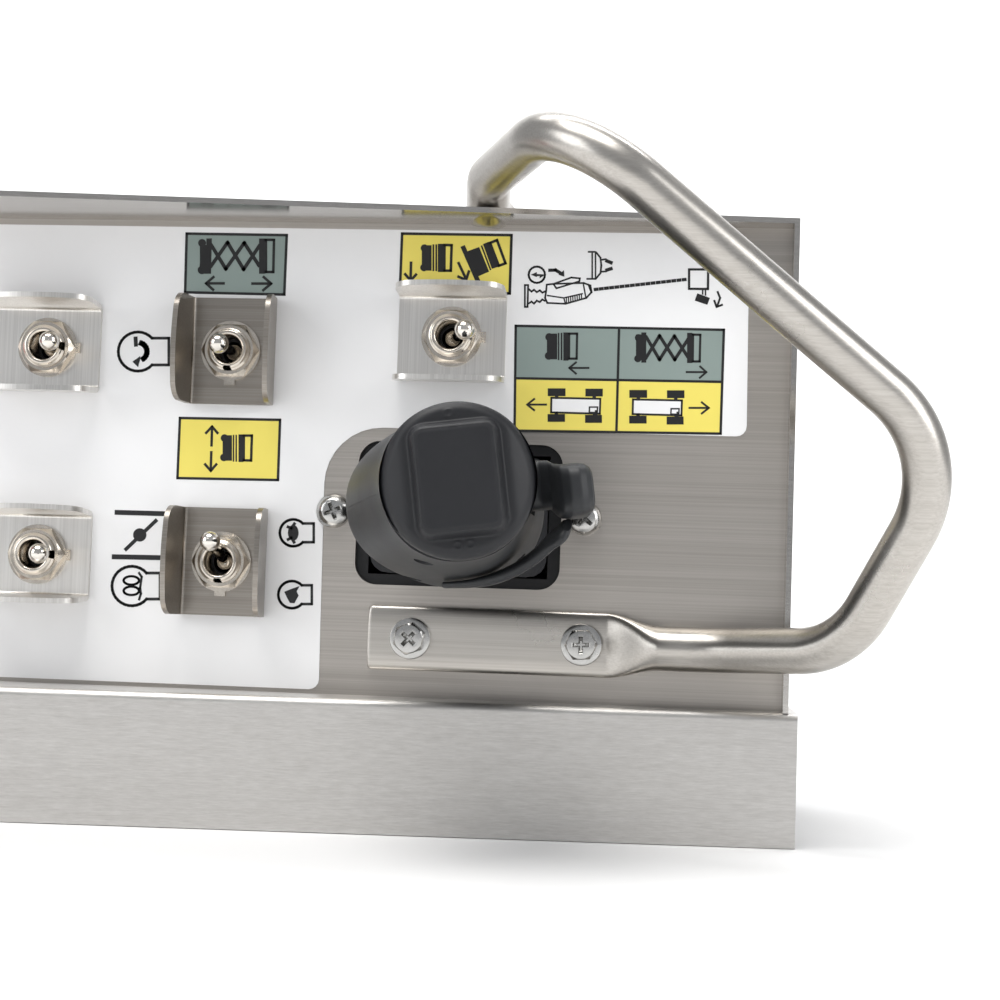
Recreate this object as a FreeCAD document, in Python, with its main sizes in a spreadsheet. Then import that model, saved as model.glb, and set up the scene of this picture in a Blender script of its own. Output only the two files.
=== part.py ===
import FreeCAD, Part
import Sketcher
import math
import os
from FreeCAD import Vector, Rotation, Placement

# Operator control console: a stainless box on an inverted U base channel, with guarded toggle
# switches, a drive joystick, an emergency stop, a horn button and a bent tube guard.
# Working frame while modelling: X to the right, Y into the box, Z up, with the origin at the front
# panel's lower right corner on its front face. Every finished piece is then moved by (shiftx, shifty, shiftz),
# so that the row's origin lies under the middle of the whole object, on the surface it stands on.

os.makedirs("parts", exist_ok=True)
doc = FreeCAD.newDocument("console")
sizes = doc.addObject("Spreadsheet::Sheet", "Sizes")
sizes.Label = "Sizes"
_row = [0]
VAL = {}


def dim(name, value):
    _row[0] += 1
    cell = "B%d" % _row[0]
    sizes.set("A%d" % _row[0], name)
    sizes.set(cell, repr(float(value)))
    try:
        sizes.setAlias(cell, name)
    except ValueError:
        raise RuntimeError("alias refused: " + name)
    VAL[name] = float(value)


for name, value in {
    # offset from the working frame to the row frame
    "shiftx": 142.2425, "shifty": -8.9435, "shiftz": 35.5,
    # front panel and overlay
    "panelw": 318, "panelh": 132, "sheet": 1.5, "returnd": 14, "film": 0.3,
    # box
    "boxd": 100, "lipright": 7, "lipslope": 0.0985, "walls": 1.5,
    # base channel
    "webleft": 3.5, "webright": 4, "skirt": 35.5, "basegap": 0.0, "chand": 104,
    # joystick opening and base
    "joyx": -89.6, "joyz": 50.7, "cutw": 57, "cuth": 40, "cutr": 6, "joyscrew": 69.8,
    "cant": 6.1, "lift": 1.6, "twist": 8.0, "pivoty": 10.0,
    # toggles
    "tax": -208.4, "tbx": -208.4, "tcx": -155.3, "tdx": -155.4, "tex": -93.1,
    "taz": 94.7, "tbz": 36.0, "tcz": 94.8, "tdz": 35.6, "tez": 100.0,
    "bushr": 5.95, "holer": 6.1, "plate": 1.4, "washert": 0.8, "nutt": 2.0, "nutaf": 14.3,
    "bushout": 6.3, "levpivot": 2.5, "levr": 18.3, "levtilt": 16.5, "ballr": 2.75,
    "guardl": 30, "guardw": 25, "wing": 15,
    # push buttons at the left end
    "stopx": -284, "stopz": 92, "hornx": -284, "hornz": 36,
    # guard tube
    "tuber": 6.0, "tubewall": 1.5, "tabw": 17.5, "tabt": 3.2,
    # cable inlet
    "glandx": -270, "glandz": 30, "glandbore": 5.0,
    "railx": 240, "railr": 3.3,
}.items():
    dim(name, value)
doc.recompute()
V = VAL
NODES = []


def num(e):
    """Value of a length given as a number or as an expression over the sheet."""
    if isinstance(e, (int, float)):
        return float(e)
    q = sizes.evalExpression(e)
    return float(getattr(q, "Value", q))


def bind(obj, prop, e):
    if isinstance(e, (int, float)):
        parts = prop.split(".")
        if parts[0] == "Placement":
            p = obj.Placement
            setattr(p.Base, parts[2], float(e))
            obj.Placement = p
        else:
            setattr(obj, prop, float(e))
    else:
        obj.setExpression(prop, e)


def at(obj, x, y, z, rot=None):
    if rot is not None:
        obj.Placement = Placement(Vector(0, 0, 0), rot)
    for k, e in (("x", x), ("y", y), ("z", z)):
        bind(obj, "Placement.Base." + k, e)
    return obj


AX = {
    "z": Rotation(),
    "-z": Rotation(Vector(1, 0, 0), 180),
    "y": Rotation(Vector(1, 0, 0), -90),
    "-y": Rotation(Vector(1, 0, 0), 90),
    "x": Rotation(Vector(0, 1, 0), 90),
    "-x": Rotation(Vector(0, 1, 0), -90),
}


def box(name, l, w, h, x, y, z, rot=None):
    o = doc.addObject("Part::Box", name)
    bind(o, "Length", l), bind(o, "Width", w), bind(o, "Height", h)
    return at(o, x, y, z, rot)


def cyl(name, r, h, x, y, z, ax="z"):
    o = doc.addObject("Part::Cylinder", name)
    bind(o, "Radius", r), bind(o, "Height", h)
    return at(o, x, y, z, AX[ax])


def cone(name, r1, r2, h, x, y, z, ax="z"):
    o = doc.addObject("Part::Cone", name)
    bind(o, "Radius1", r1), bind(o, "Radius2", r2), bind(o, "Height", h)
    return at(o, x, y, z, AX[ax])


def ball(name, r, x, y, z):
    o = doc.addObject("Part::Sphere", name)
    bind(o, "Radius", r)
    return at(o, x, y, z)


def hexa(name, circ, h, x, y, z, ax="z"):
    o = doc.addObject("Part::Prism", name)
    o.Polygon = 6
    bind(o, "Circumradius", circ), bind(o, "Height", h)
    return at(o, x, y, z, AX[ax])


def cut(name, base, *tools):
    for i, t in enumerate(tools):
        o = doc.addObject("Part::Cut", name if i == len(tools) - 1 else name + "_c%d" % i)
        o.Base, o.Tool = base, t
        base = o
    return base


def fuse(name, *objs):
    o = doc.addObject("Part::MultiFuse", name)
    o.Shapes = list(objs)
    o.Refine = True
    return o


def common(name, a, b):
    o = doc.addObject("Part::Common", name)
    o.Base, o.Tool = a, b
    return o


def group(name, *objs):
    o = doc.addObject("Part::Compound", name)
    o.Links = list(objs)
    return o


def feature(name, shape):
    o = doc.addObject("Part::Feature", name)
    o.Shape = shape
    return o


def node(name, obj):
    """Registers a finished piece and moves it from the working frame to the row frame."""
    if obj.TypeId in ("Part::Box", "Part::Cylinder", "Part::Cone", "Part::Sphere", "Part::Prism"):
        obj = group(name + "_piece", obj)
    obj.Label = name
    for k, e in (("x", "Sizes.shiftx"), ("y", "Sizes.shifty"), ("z", "Sizes.shiftz")):
        base = getattr(obj.Placement.Base, k)
        old = [x for x in obj.ExpressionEngine if x[0] == "Placement.Base." + k]
        expr = old[0][1] + " + " + e if old else ("%r + " % base if abs(base) > 1e-12 else "") + e
        obj.setExpression("Placement.Base." + k, expr)
    NODES.append((name, obj))
    return obj


# ---------------------------------------------------------------- PartDesign helpers
def body(name):
    return doc.addObject("PartDesign::Body", name)


def plane_of(b, role):
    return [o for o in b.Origin.OriginFeatures if o.Role == role][0]


def sketch(b, name, role, offset=None):
    s = b.newObject("Sketcher::SketchObject", name)
    s.AttachmentSupport = [(plane_of(b, role), "")]
    s.MapMode = "FlatFace"
    if offset is not None:
        s.AttachmentOffset = Placement(Vector(0, 0, offset), Rotation())
    return s


def rect(s, x0, y0, w, h):
    """Rectangle with its lower left corner at (x0, y0), all four sizes bound to the sheet."""
    n = s.GeometryCount
    a, b_ = num(x0), num(y0)
    c, d = num(w), num(h)
    P = [Vector(a, b_, 0), Vector(a + c, b_, 0), Vector(a + c, b_ + d, 0), Vector(a, b_ + d, 0)]
    for i in range(4):
        s.addGeometry(Part.LineSegment(P[i], P[(i + 1) % 4]), False)
    for i in range(4):
        s.addConstraint(Sketcher.Constraint("Coincident", n + i, 2, n + (i + 1) % 4, 1))
    for i in (0, 2):
        s.addConstraint(Sketcher.Constraint("Horizontal", n + i))
    for i in (1, 3):
        s.addConstraint(Sketcher.Constraint("Vertical", n + i))
    for kind, g, p, e, val in (("DistanceX", n, 1, x0, a), ("DistanceY", n, 1, y0, b_)):
        if abs(val) < 1e-9:
            s.addConstraint(Sketcher.Constraint("PointOnObject", g, p, -2 if kind == "DistanceX" else -1))
        else:
            k = s.addConstraint(Sketcher.Constraint(kind, -1, 1, g, p, val))
            if not isinstance(e, (int, float)):
                s.setExpression("Constraints[%d]" % k, e)
    for kind, g, e, val in (("DistanceX", n, w, c), ("DistanceY", n + 1, h, d)):
        k = s.addConstraint(Sketcher.Constraint(kind, g, 1, g, 2, val))
        if not isinstance(e, (int, float)):
            s.setExpression("Constraints[%d]" % k, e)


def circle(s, x, y, r):
    n = s.addGeometry(Part.Circle(Vector(num(x), num(y), 0), Vector(0, 0, 1), num(r)), False)
    k = s.addConstraint(Sketcher.Constraint("Radius", n, num(r)))
    if not isinstance(r, (int, float)):
        s.setExpression("Constraints[%d]" % k, r)
    for kind, e in (("DistanceX", x), ("DistanceY", y)):
        k = s.addConstraint(Sketcher.Constraint(kind, -1, 1, n, 3, num(e)))
        if not isinstance(e, (int, float)):
            s.setExpression("Constraints[%d]" % k, e)


def poly(s, pts):
    n = s.GeometryCount
    m = len(pts)
    for i in range(m):
        a, b_ = pts[i], pts[(i + 1) % m]
        s.addGeometry(Part.LineSegment(Vector(a[0], a[1], 0), Vector(b_[0], b_[1], 0)), False)
    for i in range(m):
        s.addConstraint(Sketcher.Constraint("Coincident", n + i, 2, n + (i + 1) % m, 1))
    for i in range(m):
        s.addConstraint(Sketcher.Constraint("Block", n + i))


def pad(b, s, name, length, rev=False):
    p = b.newObject("PartDesign::Pad", name)
    p.Profile = s
    bind(p, "Length", length)
    p.Reversed = rev
    b.Tip = p
    return p


def pocket(b, s, name, rev=False):
    doc.recompute()
    before = b.Shape.Volume
    p = b.newObject("PartDesign::Pocket", name)
    p.Profile = s
    p.Type = 1
    p.Midplane = True
    b.Tip = p
    doc.recompute()
    if b.Shape.Volume > before - 1e-6:
        raise RuntimeError(name + " cuts nothing")
    return p


# ---------------------------------------------------------------- front panel
# A 1.5 mm plate whose two ends are bent back. Body frame: x from the panel's left end, z up. The
# sketch lies in the XZ plane, and the pad goes to +Y.
fp = body("front_panel")
at(fp, "-Sizes.panelw", 0, 0)
s = sketch(fp, "panel_face", "XZ_Plane")
rect(s, 0, 0, "Sizes.panelw", "Sizes.panelh")
pad(fp, s, "panel_pad", "Sizes.sheet", rev=True)
doc.recompute()
s = sketch(fp, "panel_returns", "XZ_Plane")
rect(s, 0, 0, "Sizes.sheet", "Sizes.panelh")
rect(s, "Sizes.panelw - Sizes.sheet", 0, "Sizes.sheet", "Sizes.panelh")
pad(fp, s, "returns_pad", "Sizes.returnd", rev=True)
s = sketch(fp, "panel_cutouts", "XZ_Plane")
JL, JB = "Sizes.panelw + Sizes.joyx - Sizes.cutw/2", "Sizes.joyz - Sizes.cuth/2"
rect(s, JL, JB + " + Sizes.cutr", "Sizes.cutw", "Sizes.cuth - 2*Sizes.cutr")
for k in "abcde":
    circle(s, "Sizes.panelw + Sizes.t%sx" % k, "Sizes.t%sz" % k, "Sizes.holer")
circle(s, "Sizes.panelw + Sizes.stopx", "Sizes.stopz", 11.2)
circle(s, "Sizes.panelw + Sizes.hornx", "Sizes.hornz", 8.1)
for sg in ("+", "-"):
    circle(s, "Sizes.panelw + Sizes.joyx %s Sizes.joyscrew/2" % sg, "Sizes.joyz", 2.2)
TABX = (-101.3, -54.3)
TABZ = 16.2
for x in TABX:
    circle(s, "Sizes.panelw - %r" % (-x), TABZ, 2.7)
pocket(fp, s, "panel_holes")
# the joystick opening's round corners: a narrower, taller rectangle and four corner circles
s = sketch(fp, "panel_opening_tall", "XZ_Plane")
rect(s, JL + " + Sizes.cutr", JB, "Sizes.cutw - 2*Sizes.cutr", "Sizes.cuth")
pocket(fp, s, "opening_tall")
s = sketch(fp, "panel_opening_corners", "XZ_Plane")
for sx in ("+ Sizes.cutr", "+ Sizes.cutw - Sizes.cutr"):
    for sz in ("+ Sizes.cutr", "+ Sizes.cuth - Sizes.cutr"):
        circle(s, JL + " " + sx, JB + " " + sz, "Sizes.cutr")
pocket(fp, s, "opening_corners")
node("front_panel", fp)

# ---------------------------------------------------------------- hood: top, sides, inner bottom flange
# The walls' front edges lie in one upright plane turned a few degrees, so the lip is shallow at the
# right end and deep at the left end.
def yfront(x, extra=0.0):
    return -(V["lipright"] + V["lipslope"] * (-x)) - extra


W, H, D, T = V["panelw"], V["panelh"], V["boxd"], V["walls"]
hood_out = box("hood_out", "Sizes.panelw + 2*Sizes.walls", "Sizes.boxd + 60", "Sizes.panelh + Sizes.walls", "-Sizes.panelw - Sizes.walls", -60, 0)
hood_in = box("hood_in", "Sizes.panelw", "Sizes.boxd + 80", "Sizes.panelh + 10", "-Sizes.panelw", -70, -10)
hood = cut("hood_raw", hood_out, hood_in)
fc = [Vector(x, y, -20) for x, y in ((-W - 30, -90), (30, -90), (30, yfront(30)), (-W - 30, yfront(-W - 30)))]
front_cut = feature("hood_front", Part.Face(Part.makePolygon(fc + fc[:1])).extrude(Vector(0, 0, 200)))
hood2 = cut("hood_trim", hood, front_cut)
rfl = cut(
    "hood_rear_flange",
    box("hrf_o", "Sizes.panelw", "Sizes.walls", "Sizes.panelh", "-Sizes.panelw", "Sizes.boxd - Sizes.walls", 0),
    box("hrf_i", "Sizes.panelw - 24", 10, "Sizes.panelh - 24", "-Sizes.panelw + 12", "Sizes.boxd - 6", 12),
)
bfl = box("hood_bottom_l", 14, "Sizes.boxd - 20", "Sizes.walls", "-Sizes.panelw", 18, 0)
bfr = box("hood_bottom_r", 14, "Sizes.boxd - 20", "Sizes.walls", -14, 18, 0)
hood3 = fuse("hood_fused", hood2, rfl, bfl, bfr)
COVX = [-312, -159, -6]
holes = [cyl("hood_ch%d%d" % (i, j), 2.05, 10, x, "Sizes.boxd - 6", z, "y") for i, x in enumerate(COVX) for j, z in enumerate((6, 126))]
BASEX, BASEY = (-311, -7), (30, 80)
holes += [cyl("hood_bh%d%d" % (i, j), 2.6, 8, x, y, -3) for i, x in enumerate(BASEX) for j, y in enumerate(BASEY)]
TOPX, TOPY = -84.0, (22.0, 56.0)
holes += [cyl("hood_th%d" % i, 2.7, 8, TOPX, y, "Sizes.panelh - 3") for i, y in enumerate(TOPY)]
node("hood_shell", cut("hood_shell_piece", hood3, *holes))

# ---------------------------------------------------------------- rear cover, gasket, screws
gask = cut(
    "gasket_c",
    box("gask_o", "Sizes.panelw", 0.8, "Sizes.panelh", "-Sizes.panelw", "Sizes.boxd", 0.6),
    box("gask_i", "Sizes.panelw - 24", 4, "Sizes.panelh - 24", "-Sizes.panelw + 12", "Sizes.boxd - 1", 12),
)
node("rear_gasket", cut("gasket_holes", gask, *[cyl("gk%d%d" % (i, j), 2.05, 6, x, "Sizes.boxd - 2", z, "y") for i, x in enumerate(COVX) for j, z in enumerate((6, 126))]))
cover = box("cover_plate", "Sizes.panelw + 2", 1.5, "Sizes.panelh + 0.5", "-Sizes.panelw - 1", "Sizes.boxd + 0.8", 0.6)
cover_rib = box("cover_rib", "Sizes.panelw - 60", 1.5, 3, "-Sizes.panelw + 30", "Sizes.boxd + 2.3", 78)
cover = fuse("cover_f", cover, cover_rib, box("cover_rib2", "Sizes.panelw - 60", 1.5, 3, "-Sizes.panelw + 30", "Sizes.boxd + 2.3", 88))
node(
    "rear_cover",
    cut(
        "cover_holes", cover,
        *[cyl("ck%d%d" % (i, j), 2.05, 8, x, "Sizes.boxd - 2", z, "y") for i, x in enumerate(COVX) for j, z in enumerate((6, 126))],
        cyl("cover_gland", 8.1, 8, "Sizes.glandx", "Sizes.boxd - 2", "Sizes.glandz", "y"),
    ),
)


def pan_screw(tag, x, y, z, ax, rh, hh, rs, length, recess=True):
    """Pan-head cross-recess screw. The head's seat is at the point and the head stands out along ax."""
    back = {"y": "-y", "-y": "y", "z": "-z", "-z": "z"}[ax]
    head = cyl(tag + "_h", rh, hh * 0.45, x, y, z, ax)
    sgn = 1 if not ax.startswith("-") else -1
    dy = [0, 0, 0]
    dy[{"x": 0, "y": 1, "z": 2}[ax[-1]]] = sgn * hh * 0.45
    top = cone(tag + "_t", rh, rh * 0.62, hh * 0.55, x + dy[0], y + dy[1], z + dy[2], ax)
    shank = cyl(tag + "_s", rs, length, x, y, z, back)
    f = fuse(tag + "_f", head, top, shank)
    if not recess:
        return f
    a, b_, dpt = rh * 1.05, rh * 0.24, hh * 0.7
    if ax[-1] == "y":
        y0 = y + sgn * hh - (dpt if sgn > 0 else 0)
        r1 = box(tag + "_r1", a, dpt, b_, x - a / 2, y0, z - b_ / 2)
        r2 = box(tag + "_r2", b_, dpt, a, x - b_ / 2, y0, z - a / 2)
    else:
        z0 = z + sgn * hh - (dpt if sgn > 0 else 0)
        r1 = box(tag + "_r1", a, b_, dpt, x - a / 2, y - b_ / 2, z0)
        r2 = box(tag + "_r2", b_, a, dpt, x - b_ / 2, y - a / 2, z0)
    return cut(tag + "_x", f, r1, r2)


node("cover_screws", group("cover_screws_g", *[pan_screw("cs%d%d" % (i, j), x, D + 2.3, z, "y", 3.7, 2.6, 1.95, 8) for i, x in enumerate(COVX) for j, z in enumerate((6, 126))]))

# ---------------------------------------------------------------- base channel
# Plan: straight at the back and the ends, slanted at the front like the lip. Section: an inverted U.
SK = V["skirt"]
g0 = V["basegap"]
XL, XR = -W - V["webleft"], V["webright"]


def slab(name, x0, x1, yb, inset, z0, z1):
    """Prism with a slanted front edge, inset from the outer front plane."""
    pts = [Vector(x0, yfront(x0) + inset, z0), Vector(x1, yfront(x1) + inset, z0), Vector(x1, yb, z0), Vector(x0, yb, z0)]
    f = Part.Face(Part.makePolygon(pts + [pts[0]]))
    return f.extrude(Vector(0, 0, z1 - z0))


RB = 2.0  # outside bend radius of the channel's two folds
outer = slab("o", XL, XR, V["chand"], -1.0, -SK - g0, -g0)
bend_edges = [e for e in outer.Edges if abs(e.BoundBox.ZMin + g0) < 1e-6 and abs(e.BoundBox.ZMax + g0) < 1e-6 and e.BoundBox.XLength > 100]
outer = outer.makeFillet(RB, bend_edges)
inner = slab("i", XL - 5, XR + 5, V["chand"] - T, -1.0 + T, -SK - g0 - 5, -g0 - T)
bend_edges = [e for e in inner.Edges if abs(e.BoundBox.ZMin + g0 + T) < 1e-6 and abs(e.BoundBox.ZMax + g0 + T) < 1e-6 and e.BoundBox.XLength > 100]
inner = inner.makeFillet(RB - T, bend_edges)
chan = feature("channel_raw", outer.cut(inner))
tools = [cyl("ch_b%d%d" % (i, j), 2.6, 12, x, y, -8) for i, x in enumerate(BASEX) for j, y in enumerate(BASEY)]
tools += [cyl("ch_r%d" % i, "Sizes.railr", 12, "-Sizes.panelw/2 %s Sizes.railx/2" % sg, "Sizes.chand - 6", -18.5, "y") for i, sg in enumerate(("-", "+"))]
node("base_channel", cut("channel_cut", chan, *tools))
node("base_screws", group("base_screws_g", *[pan_screw("bs%d%d" % (i, j), x, y, -g0 - T, "-z", 4.4, 2.8, 2.45, 9) for i, x in enumerate(BASEX) for j, y in enumerate(BASEY)]))
node("base_nuts", group("base_nuts_g", *[cut("bn%d%d" % (i, j), hexa("bn_h%d%d" % (i, j), 4.6, 4, x, y, T), cyl("bn_b%d%d" % (i, j), 2.45, 8, x, y, T - 2)) for i, x in enumerate(BASEX) for j, y in enumerate(BASEY)]))

# ---------------------------------------------------------------- overlay film
# Covers the switch area on the left and the label area above the joystick, with one big notch
# round the joystick and the guard's foot.
def arc_pts(cx, cz, r, a0, a1, n=8):
    return [(cx + r * math.cos(math.radians(a0 + (a1 - a0) * i / n)), cz + r * math.sin(math.radians(a0 + (a1 - a0) * i / n))) for i in range(n + 1)]


ov = [(-W + 3, 3.6), (-W + 5.5, 1.1)]
ov += arc_pts(-129.7, 3.9, 2.8, -90, 0, 4)
ov += arc_pts(-111.6, 58.4, 16.0, 180, 90, 8)
ov += [(-15.3, 74.4)] + arc_pts(-14.0, 77.2, 2.8, -90, 0, 4)
ov += arc_pts(-14.6, 127.4, 2.8, 0, 90, 4) + arc_pts(-W + 5.8, 127.4, 2.8, 90, 180, 4)
fb = body("panel_overlay")
s = sketch(fb, "overlay_outline", "XZ_Plane")
poly(s, [p for i, p in enumerate(ov) if i == 0 or math.dist(p, ov[i - 1]) > 0.05])
pad(fb, s, "overlay_pad", "Sizes.film")
s2 = sketch(fb, "overlay_holes", "XZ_Plane")
for i, (x, z, r) in enumerate([(V["t%sx" % k], V["t%sz" % k], 6.1) for k in "abcde"] + [(V["stopx"], V["stopz"], 11.2), (V["hornx"], V["hornz"], 8.1), (V["joyx"] - V["joyscrew"] / 2, V["joyz"], 5.0)]):
    n = s2.addGeometry(Part.Circle(Vector(x, z, 0), Vector(0, 0, 1), r), False)
    s2.addConstraint(Sketcher.Constraint("Block", n))
pocket(fb, s2, "overlay_cut")
node("panel_overlay", fb)

# ---------------------------------------------------------------- toggle switches
TG = {k: (V["t%sx" % k], V["t%sz" % k]) for k in "abcde"}
side, upright = "abe", "cd"
F = V["film"]
P1 = F + V["plate"]
P2 = P1 + V["washert"]
P3 = P2 + V["nutt"]
bodies_, terms, bush, washers, nuts = [], [], [], [], []
for k in "abcde":
    X, Z = "Sizes.t%sx" % k, "Sizes.t%sz" % k
    x, z = TG[k]
    hb, wb = (28.0, 17.0) if k in side else (17.0, 28.0)
    b0 = box("tb_" + k, hb, 21, wb, x - hb / 2, T, z - wb / 2)
    bez = box("tz_" + k, hb - 3, 2.5, wb - 3, x - hb / 2 + 1.5, T + 21, z - wb / 2 + 1.5)
    bodies_.append(cut("tc_" + k, fuse("tf_" + k, b0, bez), cyl("th_" + k, 3.15, 6, X, T - 0.5, Z, "y")))
    for i in (-1, 0, 1):
        dx, dz = (i * 8.5, 0) if k in side else (0, i * 8.5)
        t1 = box("tt_%s%d" % (k, i + 1), 5, 6, 5, x + dx - 2.5, T + 23.5, z + dz - 2.5)
        t2 = cyl("tu_%s%d" % (k, i + 1), 2.2, 1.6, x + dx, T + 29.5, z + dz, "y")
        terms.append(fuse("tv_%s%d" % (k, i + 1), t1, t2))
    out = cyl("bu_" + k, "Sizes.bushr", "Sizes.bushout + Sizes.sheet", X, "-Sizes.bushout", Z, "y")
    c1 = cone("bc_" + k, 4.4, 3.15, 5.8, X, "-Sizes.bushout", Z, "y")
    c2 = cyl("bd_" + k, 3.15, 8, X, "-Sizes.bushout + 5.7", Z, "y")
    if k in "abe":
        key = box("bk_" + k, 1.6, 8, 1.5, x + 4.9, -7, z - 0.75)
    else:
        key = box("bk_" + k, 1.5, 8, 1.6, x - 0.75, -7, z - 6.5)
    bush.append(cut("bx_" + k, out, c1, c2, key))
    wr = cyl("wa_" + k, 8.4, "Sizes.washert", X, -P2, Z, "y")
    wt = box("wt_" + k, 3.0, V["washert"], 3.0, x + 6.6, -P2, z - 1.5) if k in "abe" else box("wt_" + k, 3.0, V["washert"], 3.0, x - 1.5, -P2, z - 9.6)
    washers.append(cut("wc_" + k, fuse("wf_" + k, wr, wt), cyl("wb_" + k, 6.0, 4, X, -P2 - 1, Z, "y")))
    hx = hexa("nh_" + k, V["nutaf"] / math.sqrt(3), "Sizes.nutt", X, -P2, Z, "-y")
    ch = cone("nc_" + k, 8.9, 6.9, 2.0, X, -P2, Z, "-y")
    nuts.append(cut("nx_" + k, common("ny_" + k, hx, ch), cyl("nb_" + k, "Sizes.bushr", 6, X, -P3 - 1, Z, "y")))
node("toggle_bodies", group("tbg", *bodies_))
node("toggle_terminals", group("ttg", *terms))
node("toggle_bushings", group("bug", *bush))
node("toggle_washers", group("wag", *washers))
node("toggle_nuts", group("nug", *nuts))

# Guard plates: a U section 25 mm across and 30 mm long, whose wings splay a little and have
# arched free edges with rounded corners.
def guard_shape():
    L, A, w, t = V["guardl"], V["guardw"], V["wing"], V["plate"]
    k = 1.1
    prof = [(-A / 2, 0), (A / 2, 0), (A / 2 + k, w), (A / 2 + k - t, w), (A / 2 - t, t), (-A / 2 + t, t), (-A / 2 - k + t, w), (-A / 2 - k, w)]
    f = Part.Face(Part.makePolygon([Vector(-L / 2, a, b) for a, b in prof + prof[:1]]))
    u = f.extrude(Vector(L, 0, 0))
    bend = [e for e in u.Edges if e.BoundBox.XLength > L - 1 and e.BoundBox.ZMax < t + 0.1]
    for e in sorted(bend, key=lambda e: -abs(e.CenterOfMass.y))[:2]:
        pass
    oe = [e for e in u.Edges if e.BoundBox.XLength > L - 1 and abs(e.CenterOfMass.z) < 1e-6]
    u = u.makeFillet(2.2, oe)
    ie = [e for e in u.Edges if e.BoundBox.XLength > L - 1 and abs(e.CenterOfMass.z - t) < 1e-6]
    u = u.makeFillet(0.8, ie)
    # side view of the wings: arched top, corners of 4 mm
    a = Part.Wire([
        Part.LineSegment(Vector(-L / 2, 0, -1), Vector(L / 2, 0, -1)).toShape(),
        Part.LineSegment(Vector(L / 2, 0, -1), Vector(L / 2, 0, w - 6.0)).toShape(),
        Part.Arc(Vector(L / 2, 0, w - 6.0), Vector(L / 2 - 1.6, 0, w - 2.6), Vector(L / 2 - 5, 0, w - 0.9)).toShape(),
        Part.Arc(Vector(L / 2 - 5, 0, w - 0.9), Vector(0, 0, w), Vector(-L / 2 + 5, 0, w - 0.9)).toShape(),
        Part.Arc(Vector(-L / 2 + 5, 0, w - 0.9), Vector(-L / 2 + 1.6, 0, w - 2.6), Vector(-L / 2, 0, w - 6.0)).toShape(),
        Part.LineSegment(Vector(-L / 2, 0, w - 6.0), Vector(-L / 2, 0, -1)).toShape(),
    ])
    m = Part.Face(a).extrude(Vector(0, 2 * A, 0))
    m.translate(Vector(0, -A, 0))
    g = u.common(m)
    return g.cut(Part.makeCylinder(V["holer"], 10, Vector(0, 0, -2)))


def guard_at(k):
    g = guard_shape()
    x, z = TG[k]
    # local x along the wings, local z out of the panel
    r = Rotation(Vector(1, 0, 0), 90)
    if k in upright:
        r = Rotation(Vector(0, 1, 0), 90).multiply(r)
    g.Placement = Placement(Vector(x, -F, z), r)
    return g


node("toggle_guards_side", group("tgs", *[feature("tgs_" + k, guard_at(k)) for k in side]))
node("toggle_guards_upright", group("tgu", *[feature("tgu_" + k, guard_at(k)) for k in upright]))

# Levers: tapered stem, ball end and ball foot, each at its rest tilt.
LEV = {"a": ("start_lever", "x", 1), "b": ("choke_lever", "x", 1), "e": ("lift_lever", "x", 1), "c": ("deck_lever", "z", 0), "d": ("throttle_lever", "z", 1)}
for k, (nm, swing, sg) in LEV.items():
    x, z = TG[k]
    R = V["levr"]
    pts = [(0, -2.2), (1.5, -2.2), (1.9, 1.6), (1.35, 2.4), (1.55, R - 2.6)]
    prof = [Vector(a, 0, b) for a, b in [(0, -2.2), (1.6, -2.2), (1.6, 0), (1.3, 2.6), (1.55, R - 1.6), (0, R - 1.6)]]
    stem = Part.Face(Part.makePolygon(prof + prof[:1])).revolve(Vector(0, 0, 0), Vector(0, 0, 1), 360)
    sh = stem.fuse([Part.makeSphere(V["ballr"], Vector(0, 0, R)), Part.makeSphere(2.7, Vector(0, 0, 0))]).removeSplitter()
    tilt = sg * V["levtilt"]
    r = Rotation(Vector(1, 0, 0), 90)  # local z to -Y
    if swing == "x":
        r = Rotation(Vector(0, 0, 1), tilt).multiply(r)
    else:
        r = Rotation(Vector(1, 0, 0), -tilt).multiply(r)
    f = feature(nm + "_f", sh)
    f.Placement = Placement(Vector(x, V["levpivot"], z), r)
    node(nm, f)

# ---------------------------------------------------------------- guard tube
def rounded_path(pts, radii):
    """Straight runs joined by tangent arcs. Returns the edges of the path."""
    edges, cur = [], Vector(*pts[0])
    for i in range(1, len(pts) - 1):
        p0, p1, p2 = Vector(*pts[i - 1]), Vector(*pts[i]), Vector(*pts[i + 1])
        a, b_ = (p0 - p1).normalize(), (p2 - p1).normalize()
        half = a.getAngle(b_) / 2
        d = radii[i - 1] / math.tan(half)
        q0, q1 = p1 + a * d, p1 + b_ * d
        mid = p1 + ((a + b_).normalize()) * (radii[i - 1] / math.sin(half) - radii[i - 1])
        edges.append(Part.LineSegment(cur, q0).toShape())
        edges.append(Part.Arc(q0, mid, q1).toShape())
        cur = q1
    edges.append(Part.LineSegment(cur, Vector(*pts[-1])).toShape())
    return edges


GP = [
    (-33.0, -6.3, 16.0),    # end of the lower flattened part
    (-19.0, -6.9, 16.0),
    (13.5, -29.5, 17.6),    # bottom bend
    (38.0, -48.0, 66.8),    # right bend
    (-59.0, -76.0, 142.0),  # top bend
    (-82.5, -16.5, 141.0),
    (-84.0, -4.0, 136.2),   # start of the upper flattened part
]
GR = [30, 24, 30, 27, 12]
path = rounded_path(GP, GR)
total = sum(e.Length for e in path)


def tube_of(r, p):
    w = Part.Wire(p)
    e0 = p[0]
    d0 = e0.tangentAt(e0.FirstParameter)
    c = Part.Wire(Part.makeCircle(r, e0.valueAt(e0.FirstParameter), d0))
    sh = w.makePipeShell([c], True, False)
    return sh if sh.ShapeType == "Solid" else Part.Solid(Part.Shell(sh.Faces))


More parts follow.
